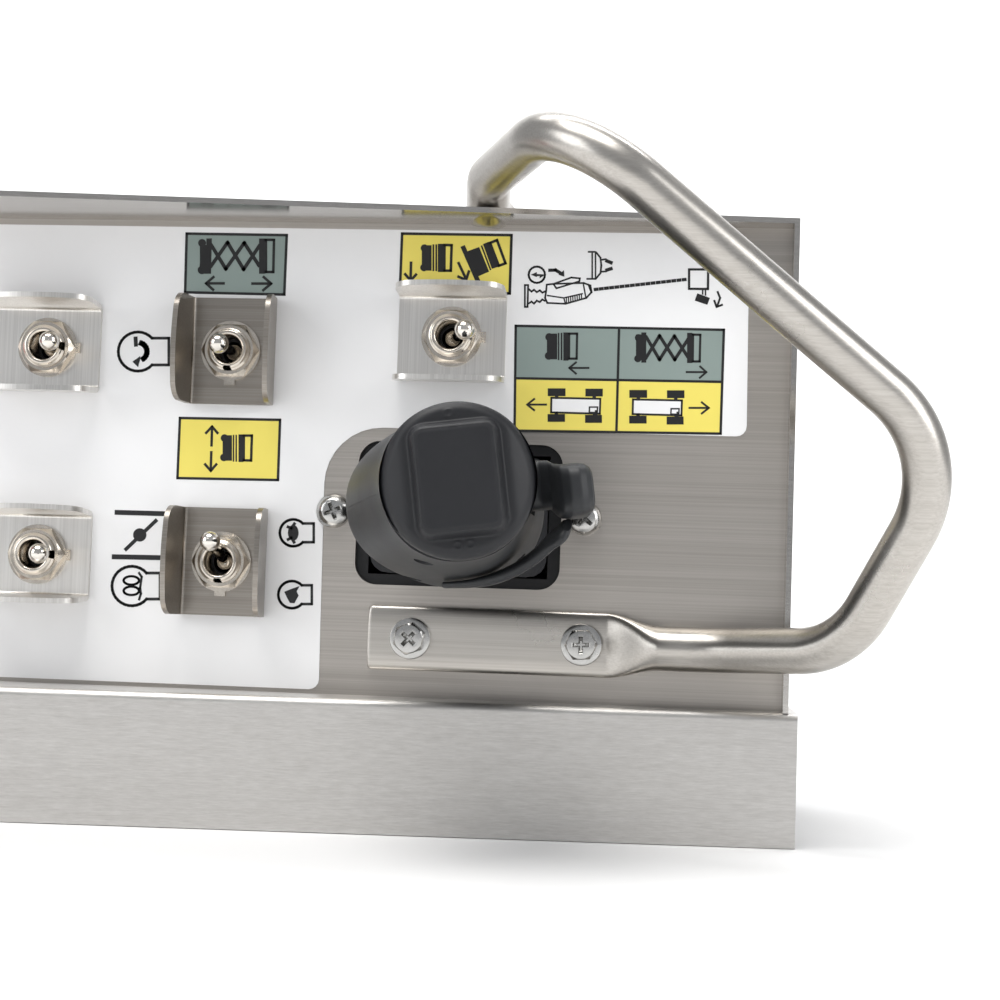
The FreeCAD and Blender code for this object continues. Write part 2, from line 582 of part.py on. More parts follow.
def stadium(w, t, cen, xdir, ydir):
    """Flat oblong section, w wide along xdir and t thick along ydir, with round ends."""
    a, b_ = w / 2 - t / 2, t / 2
    c = Vector(*cen)
    p = [c - xdir * a + ydir * b_, c + xdir * a + ydir * b_, c + xdir * a - ydir * b_, c - xdir * a - ydir * b_]
    return Part.Wire([
        Part.LineSegment(p[0], p[1]).toShape(),
        Part.Arc(p[1], c + xdir * (a + b_), p[2]).toShape(),
        Part.LineSegment(p[2], p[3]).toShape(),
        Part.Arc(p[3], c - xdir * (a + b_), p[0]).toShape(),
    ])


def flat_end(c_round, d_round, c_flat, xdir, ydir, length, along):
    """Loft from the round tube to the flattened tab, then the tab itself."""
    circ_p = []
    d_round = d_round.normalize()
    u = (xdir - d_round * xdir.dot(d_round)).normalize()
    v = d_round.cross(u)
    if v.dot(ydir) < 0:
        v = v * -1
    r = V["tuber"]
    n = 24
    def ring(c, a, b_, uu, vv, p):
        # superellipse from round (p=2) to flat
        out = []
        for i in range(n):
            t = 2 * math.pi * i / n
            ct, st = math.cos(t), math.sin(t)
            out.append(c + uu * (a * math.copysign(abs(ct) ** (2 / p), ct)) + vv * (b_ * math.copysign(abs(st) ** (2 / p), st)))
        return out
    secs = []
    for t in (0.35, 0.7):
        c = c_round * (1 - t) + c_flat * t
        a_ = r + (V["tabw"] / 2 - r) * t
        b2 = r + (V["tabt"] / 2 - r) * t
        secs.append(ring(c, a_, b2, (u * (1 - t) + xdir * t).normalize(), (v * (1 - t) + ydir * t).normalize(), 2.0 + 1.0 * t))
    circle0 = Part.Circle(c_round, d_round, r)
    circle0.XAxis = u
    wires = [Part.Wire(circle0.toShape())]  # the tube's own end circle
    for q in secs:
        bs = Part.BSplineCurve()
        bs.interpolate(q, PeriodicFlag=True)
        wires.append(Part.Wire(bs.toShape()))
    last = ring(c_flat, V["tabw"] / 2, V["tabt"] / 2, xdir, ydir, 3.4)
    bs = Part.BSplineCurve()
    bs.interpolate(last, PeriodicFlag=True)
    endw = Part.Wire(bs.toShape())
    wires.append(endw)
    lo = Part.makeLoft(wires, True, False)
    tab = Part.Face(endw).extrude(along * length)
    return lo, tab


Xv, Yv, Zv = Vector(1, 0, 0), Vector(0, 1, 0), Vector(0, 0, 1)
tube = tube_of(V["tuber"], path)
print("tube length %.1f volume ratio %.4f" % (total, tube.Volume / (math.pi * V["tuber"] ** 2 * total)))
d0 = (Vector(*GP[1]) - Vector(*GP[0]))
p0 = Vector(*GP[0])
flat0 = Vector(-48.0, -V["tabt"] / 2, 16.2)
lo0, tab0 = flat_end(p0, Vector(d0) * -1, flat0, Zv, -Yv, 65.2, Vector(-1, 0, 0))
pe = Vector(*GP[-1])
d1 = (pe - Vector(*GP[-2]))
flat1 = Vector(-84.0, 12.0, H + T + V["tabt"] / 2)
lo1, tab1 = flat_end(pe, Vector(d1), flat1, Xv, Zv, 54.0, Vector(0, 1, 0))
for nm, q in (("tube", tube), ("lo0", lo0), ("tab0", tab0), ("lo1", lo1), ("tab1", tab1)):
    print(nm, q.ShapeType, q.isValid(), round(q.Volume), len(q.Solids))
gshape = tube
for q in (lo0, tab0, lo1, tab1):
    gshape = gshape.fuse(q)
    print("fused", len(gshape.Solids), gshape.isValid(), round(gshape.Volume))
for x in TABX:
    gshape = gshape.cut(Part.makeCylinder(2.7, 12, Vector(x, -8, TABZ), Yv))
for y in TOPY:
    gshape = gshape.cut(Part.makeCylinder(2.7, 12, Vector(TOPX, y, H - 2)))
if gshape.ShapeType == "Compound" and len(gshape.Solids) == 1:
    gshape = gshape.Solids[0]
print("guard", gshape.ShapeType, len(gshape.Solids), gshape.isValid(), round(gshape.Volume))
node("guard_handle", feature("guard_f", gshape))


def washer_bolt(tag, x, y, z, ax):
    """Hex washer-head bolt with a cross recess. The washer face seats at the point."""
    sgn = -1 if ax.startswith("-") else 1
    back = {"-y": "y", "z": "-z"}[ax]
    off = lambda d: (x, y + sgn * d, z) if ax[-1] == "y" else (x, y, z + sgn * d)
    fl = cyl(tag + "_fl", 5.7, 1.2, *off(0), ax)
    hx = hexa(tag + "_hx", 8.0 / math.sqrt(3), 3.0, *off(1.2), ax)
    cn = cone(tag + "_cn", 5.4, 3.9, 3.0, *off(1.2), ax)
    hd = common(tag + "_hd", hx, cn)
    sh = cyl(tag + "_sh", 2.45, 12, x, y, z, back)
    f = fuse(tag + "_f", fl, hd, sh)
    a, b_ = 4.4, 1.0
    if ax[-1] == "y":
        r1 = box(tag + "_r1", a, 2.0, b_, x - a / 2, y - 4.2, z - b_ / 2)
        r2 = box(tag + "_r2", b_, 2.0, a, x - b_ / 2, y - 4.2, z - a / 2)
    else:
        r1 = box(tag + "_r1", a, b_, 2.0, x - a / 2, y - b_ / 2, z + 2.2)
        r2 = box(tag + "_r2", b_, a, 2.0, x - b_ / 2, y - a / 2, z + 2.2)
    return cut(tag + "_x", f, r1, r2)


gb = [washer_bolt("gb%d" % i, x, -V["tabt"], TABZ, "-y") for i, x in enumerate(TABX)]
gb += [washer_bolt("gt%d" % i, TOPX, y, H + T + V["tabt"], "z") for i, y in enumerate(TOPY)]
node("guard_bolts", group("gbg", *gb))
gn = [cut("gn%d" % i, hexa("gnh%d" % i, 4.62, 4, x, T, TABZ, "y"), cyl("gnb%d" % i, 2.45, 8, x, 0, TABZ, "y")) for i, x in enumerate(TABX)]
gn += [cut("gm%d" % i, hexa("gmh%d" % i, 4.62, 4, TOPX, y, H, "-z"), cyl("gmb%d" % i, 2.45, 8, TOPX, y, H + 1, "-z")) for i, y in enumerate(TOPY)]
node("guard_nuts", group("gng", *gn))

# ---------------------------------------------------------------- joystick
JX, JZ, PY = V["joyx"], V["joyz"], V["pivoty"]
jm = fuse(
    "jm_f",
    box("jm_flange", 78, 3, 52, "Sizes.joyx - 39", T, "Sizes.joyz - 26"),
    box("jm_well", 54, 42, 38, "Sizes.joyx - 27", T + 3, "Sizes.joyz - 19"),
)
jm = cut(
    "jm_c", jm,
    box("jm_cav", 50, 36, 34, "Sizes.joyx - 25", T - 1, "Sizes.joyz - 17"),
    cyl("jm_s1", 2.0, 8, "Sizes.joyx - Sizes.joyscrew/2", T - 2, "Sizes.joyz", "y"),
    cyl("jm_s2", 2.0, 8, "Sizes.joyx + Sizes.joyscrew/2", T - 2, "Sizes.joyz", "y"),
    cyl("jm_pin", 2.05, 60, "Sizes.joyx", "Sizes.pivoty", "Sizes.joyz - 30", "z"),
)
node("joystick_mount", jm)
node("joystick_screws", group("jsg", *[pan_screw("js%d" % i, JX + sg * V["joyscrew"] / 2, 0.0, JZ, "-y", 4.75, 3.2, 1.95, 12) for i, sg in enumerate((-1, 1))]))
node("joystick_nuts", group("jng", *[cut("jn%d" % i, hexa("jnh%d" % i, 4.0, 3.2, JX + sg * V["joyscrew"] / 2, T + 3, JZ, "y"), cyl("jnb%d" % i, 1.95, 8, JX + sg * V["joyscrew"] / 2, T + 1, JZ, "y")) for i, sg in enumerate((-1, 1))]))
node("pivot_pin", cyl("pivot_pin_c", 2.0, 37.6, "Sizes.joyx", "Sizes.pivoty", "Sizes.joyz - 18.8", "z"))

# Stick frame: origin on the pivot pin, local z out along the canted stick, local x towards the
# trigger, local y up the panel. The grip is turned a few degrees on its shaft.
ca, tw = math.radians(V["cant"]), V["twist"]
wdir = Vector(math.sin(ca), -math.cos(ca), 0)
udir = Vector(math.cos(ca), math.sin(ca), 0)
M = FreeCAD.Matrix(udir.x, 0, wdir.x, 0, udir.y, 0, wdir.y, 0, udir.z, 1, wdir.z, 0, 0, 0, 0, 1)
stick_rot = Rotation(M)
eye_rot = stick_rot  # the eye stays square to the pivot pin; everything above it leans up a little
stick_rot = Rotation(udir, V["lift"]).multiply(stick_rot)
if stick_rot.multVec(Vector(0, 0, 1)).z < 0:
    stick_rot = Rotation(udir, -V["lift"]).multiply(eye_rot)
grip_rot = stick_rot.multiply(Rotation(Vector(0, 0, 1), tw))
base_pt = Vector(JX, PY, JZ)


def on_stick(name, sh, rot=None):
    f = feature(name + "_f", sh)
    f.Placement = Placement(base_pt, rot or stick_rot)
    return node(name, f)


# shaft with its pivot eye, a flat arm below for the springs and the magnet
rod = Part.makeCylinder(4.0, 56, Vector(0, 0, 4))
rod.Placement = Placement(Vector(0, 0, 0), eye_rot.inverted().multiply(stick_rot))
shaft = rod.fuse([
    Part.makeCylinder(6.0, 12, Vector(0, -6, 0), Vector(0, 1, 0)),
    Part.makeBox(8, 8, 14, Vector(-4, -4, -16)),
]).cut(Part.makeCylinder(2.05, 20, Vector(0, -10, 0), Vector(0, 1, 0))).removeSplitter()
on_stick("joystick_shaft", shaft, eye_rot)
on_stick("sensor_magnet", Part.makeCylinder(3.0, 3.0, Vector(0, 0, -19.0)), eye_rot)
node("sensor_board", box("sensor_b", 22, 1.6, 20, "Sizes.joyx - 11", "Sizes.sheet + 33.4", "Sizes.joyz - 10"))
# centring spring: a torsion coil round the pin, below the shaft's eye
coil = Part.makeHelix(1.6, 6.4, 5.2)
cw = Part.Wire(coil.Edges)
p = cw.Edges[0].valueAt(cw.Edges[0].FirstParameter)
t0 = cw.Edges[0].tangentAt(cw.Edges[0].FirstParameter)
spring = cw.makePipeShell([Part.Wire(Part.makeCircle(0.55, p, t0))], True, True)
fs = feature("centring_f", spring)
fs.Placement = Placement(Vector(JX, PY, JZ - 15.0), Rotation())
node("centring_spring", fs)

# boot: a bellows of revolution on the stick, slim enough to swing inside the well's opening
clean = [
    (4.3, 40.4), (16.4, 40.4), (17.6, 38.8), (16.0, 36.6), (17.8, 34.2), (15.8, 31.8), (17.4, 29.4), (15.4, 27.0),
    (16.8, 24.6), (14.9, 22.2), (16.2, 19.8), (14.6, 17.4), (15.4, 15.0), (15.0, 12.8), (13.4, 12.8), (13.4, 15.4),
    (12.8, 17.4), (14.2, 19.8), (13.0, 22.2), (14.8, 24.6), (13.4, 27.0), (15.4, 29.4), (13.8, 31.8), (15.8, 34.2),
    (14.0, 36.6), (14.0, 38.2), (4.3, 38.2),
]
prof = [Vector(a, 0, b) for a, b in clean]
boot = Part.Face(Part.makePolygon(prof + prof[:1])).revolve(Vector(0, 0, 0), Vector(0, 0, 1), 360)
on_stick("joystick_boot", boot)


# grip: a hollow palm grip lofted through egg-shaped sections, split in two shells
def egg(z, left, right, up, down, shrink=0.0, n=28):
    pts = []
    for i in range(n):
        t = 2 * math.pi * i / n
        c, s_ = math.cos(t), math.sin(t)
        rx = (right if c > 0 else left) - shrink
        ry = (up if s_ > 0 else down) - shrink
        pts.append(Vector(rx * math.copysign(abs(c) ** 0.92, c), ry * math.copysign(abs(s_) ** 0.92, s_), z))
    b = Part.BSplineCurve()
    b.interpolate(pts, PeriodicFlag=True)
    return Part.Wire(b.toShape())


SEC = [  # height above the pivot, left, right, up, down
    (41.0, 21.5, 21.5, 21.5, 21.5),
    (47.0, 24.5, 21.0, 21.5, 21.5),
    (55.0, 28.0, 20.0, 20.5, 20.5),
    (66.0, 27.5, 18.5, 19.5, 19.5),
    (80.0, 23.5, 17.0, 18.5, 18.5),
    (92.0, 19.5, 16.5, 17.8, 17.8),
    (101.0, 17.6, 16.6, 17.8, 17.8),
]


def section_at(z):
    for a, b_ in zip(SEC, SEC[1:]):
        if a[0] <= z <= b_[0]:
            t = (z - a[0]) / (b_[0] - a[0])
            return [a[i] + (b_[i] - a[i]) * t for i in range(5)]
    return list(SEC[-1])


outer_g = Part.makeLoft([egg(*q) for q in SEC], True, False)
inner_s = []
for z in (45.0, 52.0, 60.0, 70.0, 82.0, 92.0, 99.0):
    q = section_at(z)
    q[0] = z
    inner_s.append(egg(*q, shrink=2.6))
inner_g = Part.makeLoft(inner_s, True, False)
grip = outer_g.cut(inner_g)
grip = grip.cut(Part.makeCylinder(4.1, 20, Vector(0, 0, 36)))
slot = Part.makeBox(20, 13.6, 27.4, Vector(8, -6.8, 66.3))
grip = grip.cut(slot)
bore = Part.makeCylinder(12.2, 12, Vector(0, 0, 93))
grip = grip.cut(bore)
# sleeve that holds the shaft
sleeve = Part.makeCylinder(7.0, 17.0, Vector(0, 0, 44.0)).cut(Part.makeCylinder(4.02, 30, Vector(0, 0, 40)))
grip = grip.fuse(sleeve)
half = Part.makeBox(120, 60, 140, Vector(-60, 0.02, 0))
lower = Part.makeBox(120, 60, 140, Vector(-60, -60.02, 0))
gu, gl = grip.common(half), grip.common(lower)
GS = [(-14.0, 53.0, -15.4), (-10.0, 86.0, -13.6), (12.5, 53.0, -13.4)]  # grip screws: x, z and seat along local y
for x_, z_, seat in GS:
    boss = Part.makeCylinder(2.6, 40, Vector(x_, 0.02, z_), Vector(0, 1, 0)).common(outer_g)
    gu = gu.fuse(boss).cut(Part.makeCylinder(1.2, 12, Vector(x_, -1, z_), Vector(0, 1, 0)))
    boss2 = Part.makeCylinder(3.4, 40, Vector(x_, -40.02, z_), Vector(0, 1, 0)).common(outer_g)
    gl = gl.fuse(boss2).cut(Part.makeCylinder(1.2, 60, Vector(x_, -50, z_), Vector(0, 1, 0)))
    gl = gl.cut(Part.makeCylinder(2.3, 40, Vector(x_, seat + 2.0, z_), Vector(0, -1, 0)))
trigger_bore = Part.makeCylinder(1.5, 24.0, Vector(11.0, -12.0, 73.5), Vector(0, 1, 0))
gu = gu.cut(slot).cut(Part.makeCylinder(4.02, 30, Vector(0, 0, 36))).cut(trigger_bore)
gl = gl.cut(slot).cut(Part.makeCylinder(4.02, 30, Vector(0, 0, 36))).cut(trigger_bore)


def biggest(sh):
    return sorted(sh.Solids, key=lambda q: -q.Volume)[0] if sh.Solids else sh


gu, gl = biggest(gu), biggest(gl)
on_stick("grip_upper_half", gu, grip_rot)
on_stick("grip_lower_half", gl, grip_rot)
gsc = []
for x_, z_, seat in GS:
    sc = Part.makeCylinder(2.2, 1.8, Vector(x_, seat + 0.2, z_), Vector(0, 1, 0)).fuse(Part.makeCylinder(1.15, -seat + 6.0, Vector(x_, seat + 1.9, z_), Vector(0, 1, 0)))
    sc = sc.cut(Part.makeBox(3.2, 1.0, 0.7, Vector(x_ - 1.6, seat - 0.2, z_ - 0.35))).cut(Part.makeBox(0.7, 1.0, 3.2, Vector(x_ - 0.35, seat - 0.2, z_ - 1.6)))
    gsc.append(sc)
doc.recompute()

# head: rubber-covered cap with a window for the rocker
cap = Part.makeCylinder(17.9, 9.0, Vector(0, 0, 101.0))
cap = cap.makeFillet(3.2, [e for e in cap.Edges if abs(e.CenterOfMass.z - 110.0) < 1e-6 and e.Length > 20])
cap = cap.fuse(Part.makeCylinder(12.0, 7.0, Vector(0, 0, 94.0)))
cap = cap.cut(Part.makeBox(19.8, 27.4, 40, Vector(-9.9, -13.7, 96.5)))
cap = cap.cut(Part.makeCylinder(9.5, 6, Vector(0, 0, 92.5)))
cap = cap.cut(Part.makeCylinder(0.95, 23.0, Vector(-11.5, 0, 103.5), Vector(1, 0, 0)))
on_stick("grip_cap", biggest(cap.removeSplitter()), grip_rot)
rk = Part.makeBox(18.2, 24.0, 9.4, Vector(-9.1, -12.0, 103.2))
rk = rk.makeFillet(2.2, [e for e in rk.Edges if e.BoundBox.ZLength > 9])
rk = rk.makeFillet(1.2, [e for e in rk.Edges if abs(e.BoundBox.ZMin - 112.6) < 1e-4])
rk = rk.fuse(Part.makeBox(16.0, 17.0, 5.0, Vector(-8.0, -8.5, 100.6)))
rk = rk.cut(Part.makeCylinder(1.02, 30, Vector(-15, 0, 103.5), Vector(1, 0, 0)))
on_stick("thumb_rocker", rk, grip_rot)
on_stick("rocker_pin", Part.makeCylinder(0.95, 23.0, Vector(-11.5, 0, 103.5), Vector(1, 0, 0)), grip_rot)
rsw = [Part.makeBox(8, 5, 5, Vector(-4, y_, 90.6)).fuse(Part.makeCylinder(1.0, 4.9, Vector(0, y_ + 2.5, 94.6))) for y_ in (-7.6, 2.6)]
on_stick("rocker_switches", Part.makeCompound(rsw), grip_rot)

# trigger: a curved paddle on a pin inside the grip
tp = [(12.6, 70.4), (19.0, 68.4), (24.6, 65.6), (28.4, 65.4), (30.7, 69.0), (31.7, 75.0), (31.5, 81.5), (29.8, 87.0), (27.2, 88.8), (24.6, 87.0), (23.2, 82.5), (21.6, 78.0), (18.6, 76.2), (12.6, 76.6)]
tb = Part.BSplineCurve()
tb.interpolate([Vector(a, -9.4, b) for a, b in tp], PeriodicFlag=True)
trg = Part.Face(Part.Wire(tb.toShape())).extrude(Vector(0, 15.6, 0))
trg = trg.common(Part.makeBox(22.8, 12.4, 60, Vector(0, -6.2, 50)).fuse(Part.makeBox(3.4, 13.0, 60, Vector(22.8, -9.2, 50))).fuse(Part.makeCylinder(6.5, 60, Vector(25.4, -2.7, 50))))
lug = Part.makeCylinder(4.0, 12.4, Vector(11.0, -6.2, 73.5), Vector(0, 1, 0))
trg = trg.fuse(lug).cut(Part.makeCylinder(1.55, 30, Vector(11.0, -15, 73.5), Vector(0, 1, 0))).removeSplitter()
on_stick("trigger", biggest(trg), grip_rot)
on_stick("trigger_pin", Part.makeCylinder(1.5, 24.0, Vector(11.0, -12.0, 73.5), Vector(0, 1, 0)), grip_rot)
on_stick("trigger_switch", Part.makeBox(7, 9, 12, Vector(-5, -4.5, 70)), grip_rot)
tsp = Part.makeCylinder(1.6, 4.2, Vector(2.4, 0, 76.5), Vector(1, 0, 0)).cut(Part.makeCylinder(1.0, 6, Vector(2.0, 0, 76.5), Vector(1, 0, 0)))
on_stick("trigger_spring", tsp, grip_rot)
on_stick("grip_screws", Part.makeCompound(gsc), grip_rot)

# ---------------------------------------------------------------- emergency stop and horn
SX, SZ = V["stopx"], V["stopz"]
col = fuse("stop_c1", cyl("stop_ring", 15.5, 3.2, "Sizes.stopx", -F, "Sizes.stopz", "-y"), cyl("stop_neck", 13.0, 4.0, "Sizes.stopx", -F - 3.2, "Sizes.stopz", "-y"), cyl("stop_stem", 10.9, 14 + F, "Sizes.stopx", -F, "Sizes.stopz", "y"))
node("stop_collar", cut("stop_c2", col, cyl("stop_bore", 6.88, 40, "Sizes.stopx", -20, "Sizes.stopz", "y")))
mush = Part.makeCylinder(6.8, 24, Vector(0, 0, -10)).fuse(Part.makeCylinder(20, 7.5, Vector(0, 0, 13.0)))
mush = mush.removeSplitter()
mush = mush.makeFillet(3.6, [e for e in mush.Edges if abs(e.CenterOfMass.z - 20.5) < 1e-6 and e.Length > 60])
fm = feature("stop_button_f", mush)
fm.Placement = Placement(Vector(SX, 0, SZ), Rotation(Vector(1, 0, 0), 90))
node("stop_button", fm)
node("stop_nut", cut("stop_nc", hexa("stop_nh", 16.0, 4, "Sizes.stopx", T, "Sizes.stopz", "y"), cyl("stop_nb", 10.9, 12, "Sizes.stopx", -1, "Sizes.stopz", "y")))
node("stop_block", cut("stop_bl", box("stop_bb", 30, 34, 34, "Sizes.stopx - 15", 14.0, "Sizes.stopz - 17"), cyl("stop_bc", 7.2, 4, "Sizes.stopx", T + 12, "Sizes.stopz", "y")))
bz = fuse("horn_c1", cyl("horn_ring", 12.0, 3.0, "Sizes.hornx", -F, "Sizes.hornz", "-y"), cyl("horn_stem", 7.9, 14 + F, "Sizes.hornx", -F, "Sizes.hornz", "y"))
node("horn_bezel", cut("horn_c2", bz, cyl("horn_bore", 5.88, 30, "Sizes.hornx", -10, "Sizes.hornz", "y")))
hb_ = Part.makeCylinder(5.8, 13.0, Vector(0, 0, -6.5)).fuse(Part.makeCylinder(8.6, 4.0, Vector(0, 0, 6.2))).removeSplitter()
hb_ = hb_.makeFillet(1.2, [e for e in hb_.Edges if abs(e.CenterOfMass.z - 10.2) < 1e-6 and e.Length > 30])
fh = feature("horn_button_f", hb_)
fh.Placement = Placement(Vector(V["hornx"], 0, V["hornz"]), Rotation(Vector(1, 0, 0), 90))
node("horn_button", fh)
node("horn_nut", cut("horn_nc", hexa("horn_nh", 12.0, 3.5, "Sizes.hornx", T, "Sizes.hornz", "y"), cyl("horn_nb", 7.9, 12, "Sizes.hornx", -1, "Sizes.hornz", "y")))
node("horn_block", cut("horn_bl", box("horn_bb", 20, 24, 20, "Sizes.hornx - 10", 14.0, "Sizes.hornz - 10"), cyl("horn_bc", 6.2, 3, "Sizes.hornx", T + 12, "Sizes.hornz", "y")))

# ---------------------------------------------------------------- cable inlet and terminals
GY = D + 2.3
gbod = fuse("gl_f", cyl("gl_t", 8.0, 12.0, "Sizes.glandx", GY - 9, "Sizes.glandz", "y"), hexa("gl_h", 12.0, 5, "Sizes.glandx", GY, "Sizes.glandz", "y"), cyl("gl_t2", 8.0, 9, "Sizes.glandx", GY + 5, "Sizes.glandz", "y"))
node("gland_body", cut("gl_c", gbod, cyl("gl_b", "Sizes.glandbore", 40, "Sizes.glandx", GY - 12, "Sizes.glandz", "y")))
gc = fuse("gc_f", hexa("gc_h", 12.0, 8, "Sizes.glandx", GY + 5.5, "Sizes.glandz", "y"), cone("gc_d", 9.5, 7.0, 5, "Sizes.glandx", GY + 13.5, "Sizes.glandz", "y"))
node("gland_cap", cut("gc_c", gc, cyl("gc_b", 8.0, 9.5 - 1.0, "Sizes.glandx", GY + 5.5, "Sizes.glandz", "y"), cyl("gc_b2", "Sizes.glandbore", 20, "Sizes.glandx", GY + 4, "Sizes.glandz", "y")))
node("gland_nut", cut("gn_c", hexa("gn_h", 12.0, 4, "Sizes.glandx", D - 3.2, "Sizes.glandz", "y"), cyl("gn_b", 8.0, 10, "Sizes.glandx", D - 8, "Sizes.glandz", "y")))
tbk = box("term_b", 90, 18, 16, -250, 60, "-Sizes.basegap")
tbh = [cyl("term_h%d" % i, 2.1, 8, -250 + 9 + 9 * i, 69, 10) for i in range(9)]
node("terminal_block", cut("term_c", tbk, *tbh))
node("terminal_screws", group("term_s", *[cut("ts_x%d" % i, cyl("ts_c%d" % i, 2.0, 5.0, -250 + 9 + 9 * i, 69, 10), box("ts_s%d" % i, 4.4, 0.8, 1, -250 + 9 + 9 * i - 2.2, 68.6, 14.2)) for i in range(9)]))

# ---------------------------------------------------------------- checks and export
doc.recompute()
bad = []
for o in doc.Objects:
    if any(w in ("Invalid", "Error") for w in o.State):
        bad.append("%s (%s): %s" % (o.Name, o.TypeId, o.State))
for name, o in NODES:
    sh = o.Shape
    if sh.isNull() or not sh.isValid() or not sh.Solids:
        bad.append("%s has a bad shape: null %s valid %s solids %d" % (name, sh.isNull(), (not sh.isNull()) and sh.isValid(), 0 if sh.isNull() else len(sh.Solids)))
if len(NODES) > 60 or len({n for n, _ in NODES}) != len(NODES):
    bad.append("too many or repeated nodes: %d" % len(NODES))
if bad:
    raise RuntimeError("; ".join(bad))
lo, hi = [1e9] * 3, [-1e9] * 3
for f in os.listdir("parts"):
    os.remove(os.path.join("parts", f))
for name, o in NODES:
    o.Shape.exportStep("parts/%s.step" % name)
    b = o.Shape.optimalBoundingBox() if hasattr(o.Shape, "optimalBoundingBox") else o.Shape.BoundBox
    lo = [min(a, c) for a, c in zip(lo, (b.XMin, b.YMin, b.ZMin))]
    hi = [max(a, c) for a, c in zip(hi, (b.XMax, b.YMax, b.ZMax))]
print(len(NODES), "nodes", [round(v, 3) for v in lo], [round(v, 3) for v in hi])
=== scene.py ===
"""Looks for the operator control console: finishes, printed film, sculpted stick grip, bellows, threads, light and camera."""
import math
import random

import bpy
import bmesh
from mathutils import Matrix, Vector


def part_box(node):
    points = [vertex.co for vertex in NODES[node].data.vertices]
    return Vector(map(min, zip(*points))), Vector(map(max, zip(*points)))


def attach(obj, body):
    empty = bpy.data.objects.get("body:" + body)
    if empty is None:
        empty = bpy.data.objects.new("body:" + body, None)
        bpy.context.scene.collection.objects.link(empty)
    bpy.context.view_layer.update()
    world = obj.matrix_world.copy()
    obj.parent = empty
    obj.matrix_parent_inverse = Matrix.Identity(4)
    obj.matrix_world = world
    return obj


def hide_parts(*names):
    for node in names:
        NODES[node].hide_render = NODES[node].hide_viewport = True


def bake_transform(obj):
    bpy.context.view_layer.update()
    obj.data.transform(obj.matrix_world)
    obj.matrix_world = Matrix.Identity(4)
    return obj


random.seed(11)
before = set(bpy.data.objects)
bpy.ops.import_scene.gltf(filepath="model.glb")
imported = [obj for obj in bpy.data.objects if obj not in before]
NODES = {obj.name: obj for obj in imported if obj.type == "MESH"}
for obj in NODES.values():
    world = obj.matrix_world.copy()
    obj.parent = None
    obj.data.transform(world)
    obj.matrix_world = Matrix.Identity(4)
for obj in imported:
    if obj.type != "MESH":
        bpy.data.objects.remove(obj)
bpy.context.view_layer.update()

# the panel frame: X right, Y into the box, Z up, from the front panel's lower right corner, in mm
SX, SY, SZ = 142.2425, -8.9435, 35.5


def P(x, y, z):
    return Vector(((x + SX) / 1000.0, (y + SY) / 1000.0, (z + SZ) / 1000.0))


# ------------------------------------------------------------------ materials
def material(name):
    m = bpy.data.materials.new(name)
    m.use_nodes = True
    nt = m.node_tree
    nt.nodes.clear()
    out = nt.nodes.new("ShaderNodeOutputMaterial")
    b = nt.nodes.new("ShaderNodeBsdfPrincipled")
    nt.links.new(b.outputs[0], out.inputs[0])
    return m, nt, b


def coords(nt, scale, rot=(0, 0, 0)):
    tc = nt.nodes.new("ShaderNodeTexCoord")
    mp = nt.nodes.new("ShaderNodeMapping")
    mp.inputs["Scale"].default_value = scale
    mp.inputs["Rotation"].default_value = rot
    nt.links.new(tc.outputs["Object"], mp.inputs["Vector"])
    return mp.outputs["Vector"]


def noise(nt, vec, scale, detail=4.0, rough=0.55):
    n = nt.nodes.new("ShaderNodeTexNoise")
    n.inputs["Scale"].default_value = scale
    n.inputs["Detail"].default_value = detail
    n.inputs["Roughness"].default_value = rough
    nt.links.new(vec, n.inputs["Vector"])
    return n.outputs["Fac"]


def ramp(nt, fac, stops):
    r = nt.nodes.new("ShaderNodeValToRGB")
    e = r.color_ramp.elements
    while len(e) > len(stops):
        e.remove(e[-1])
    while len(e) < len(stops):
        e.new(1.0)
    for k, (p, c) in zip(e, stops):
        k.position = p
        k.color = tuple(c) + (1.0,) if len(c) == 3 else c
    nt.links.new(fac, r.inputs["Fac"])
    return r.outputs["Color"]


def span(nt, fac, lo, hi):
    mr = nt.nodes.new("ShaderNodeMapRange")
    mr.inputs["From Min"].default_value = 0.3
    mr.inputs["From Max"].default_value = 0.7
    mr.inputs["To Min"].default_value = lo
    mr.inputs["To Max"].default_value = hi
    nt.links.new(fac, mr.inputs["Value"])
    return mr.outputs["Result"]


def bump(nt, b, fac, strength, dist, prev=None):
    n = nt.nodes.new("ShaderNodeBump")
    n.inputs["Strength"].default_value = strength
    n.inputs["Distance"].default_value = dist
    nt.links.new(fac, n.inputs["Height"])
    if prev is not None:
        nt.links.new(prev, n.inputs["Normal"])
    nt.links.new(n.outputs["Normal"], b.inputs["Normal"])
    return n.outputs["Normal"]


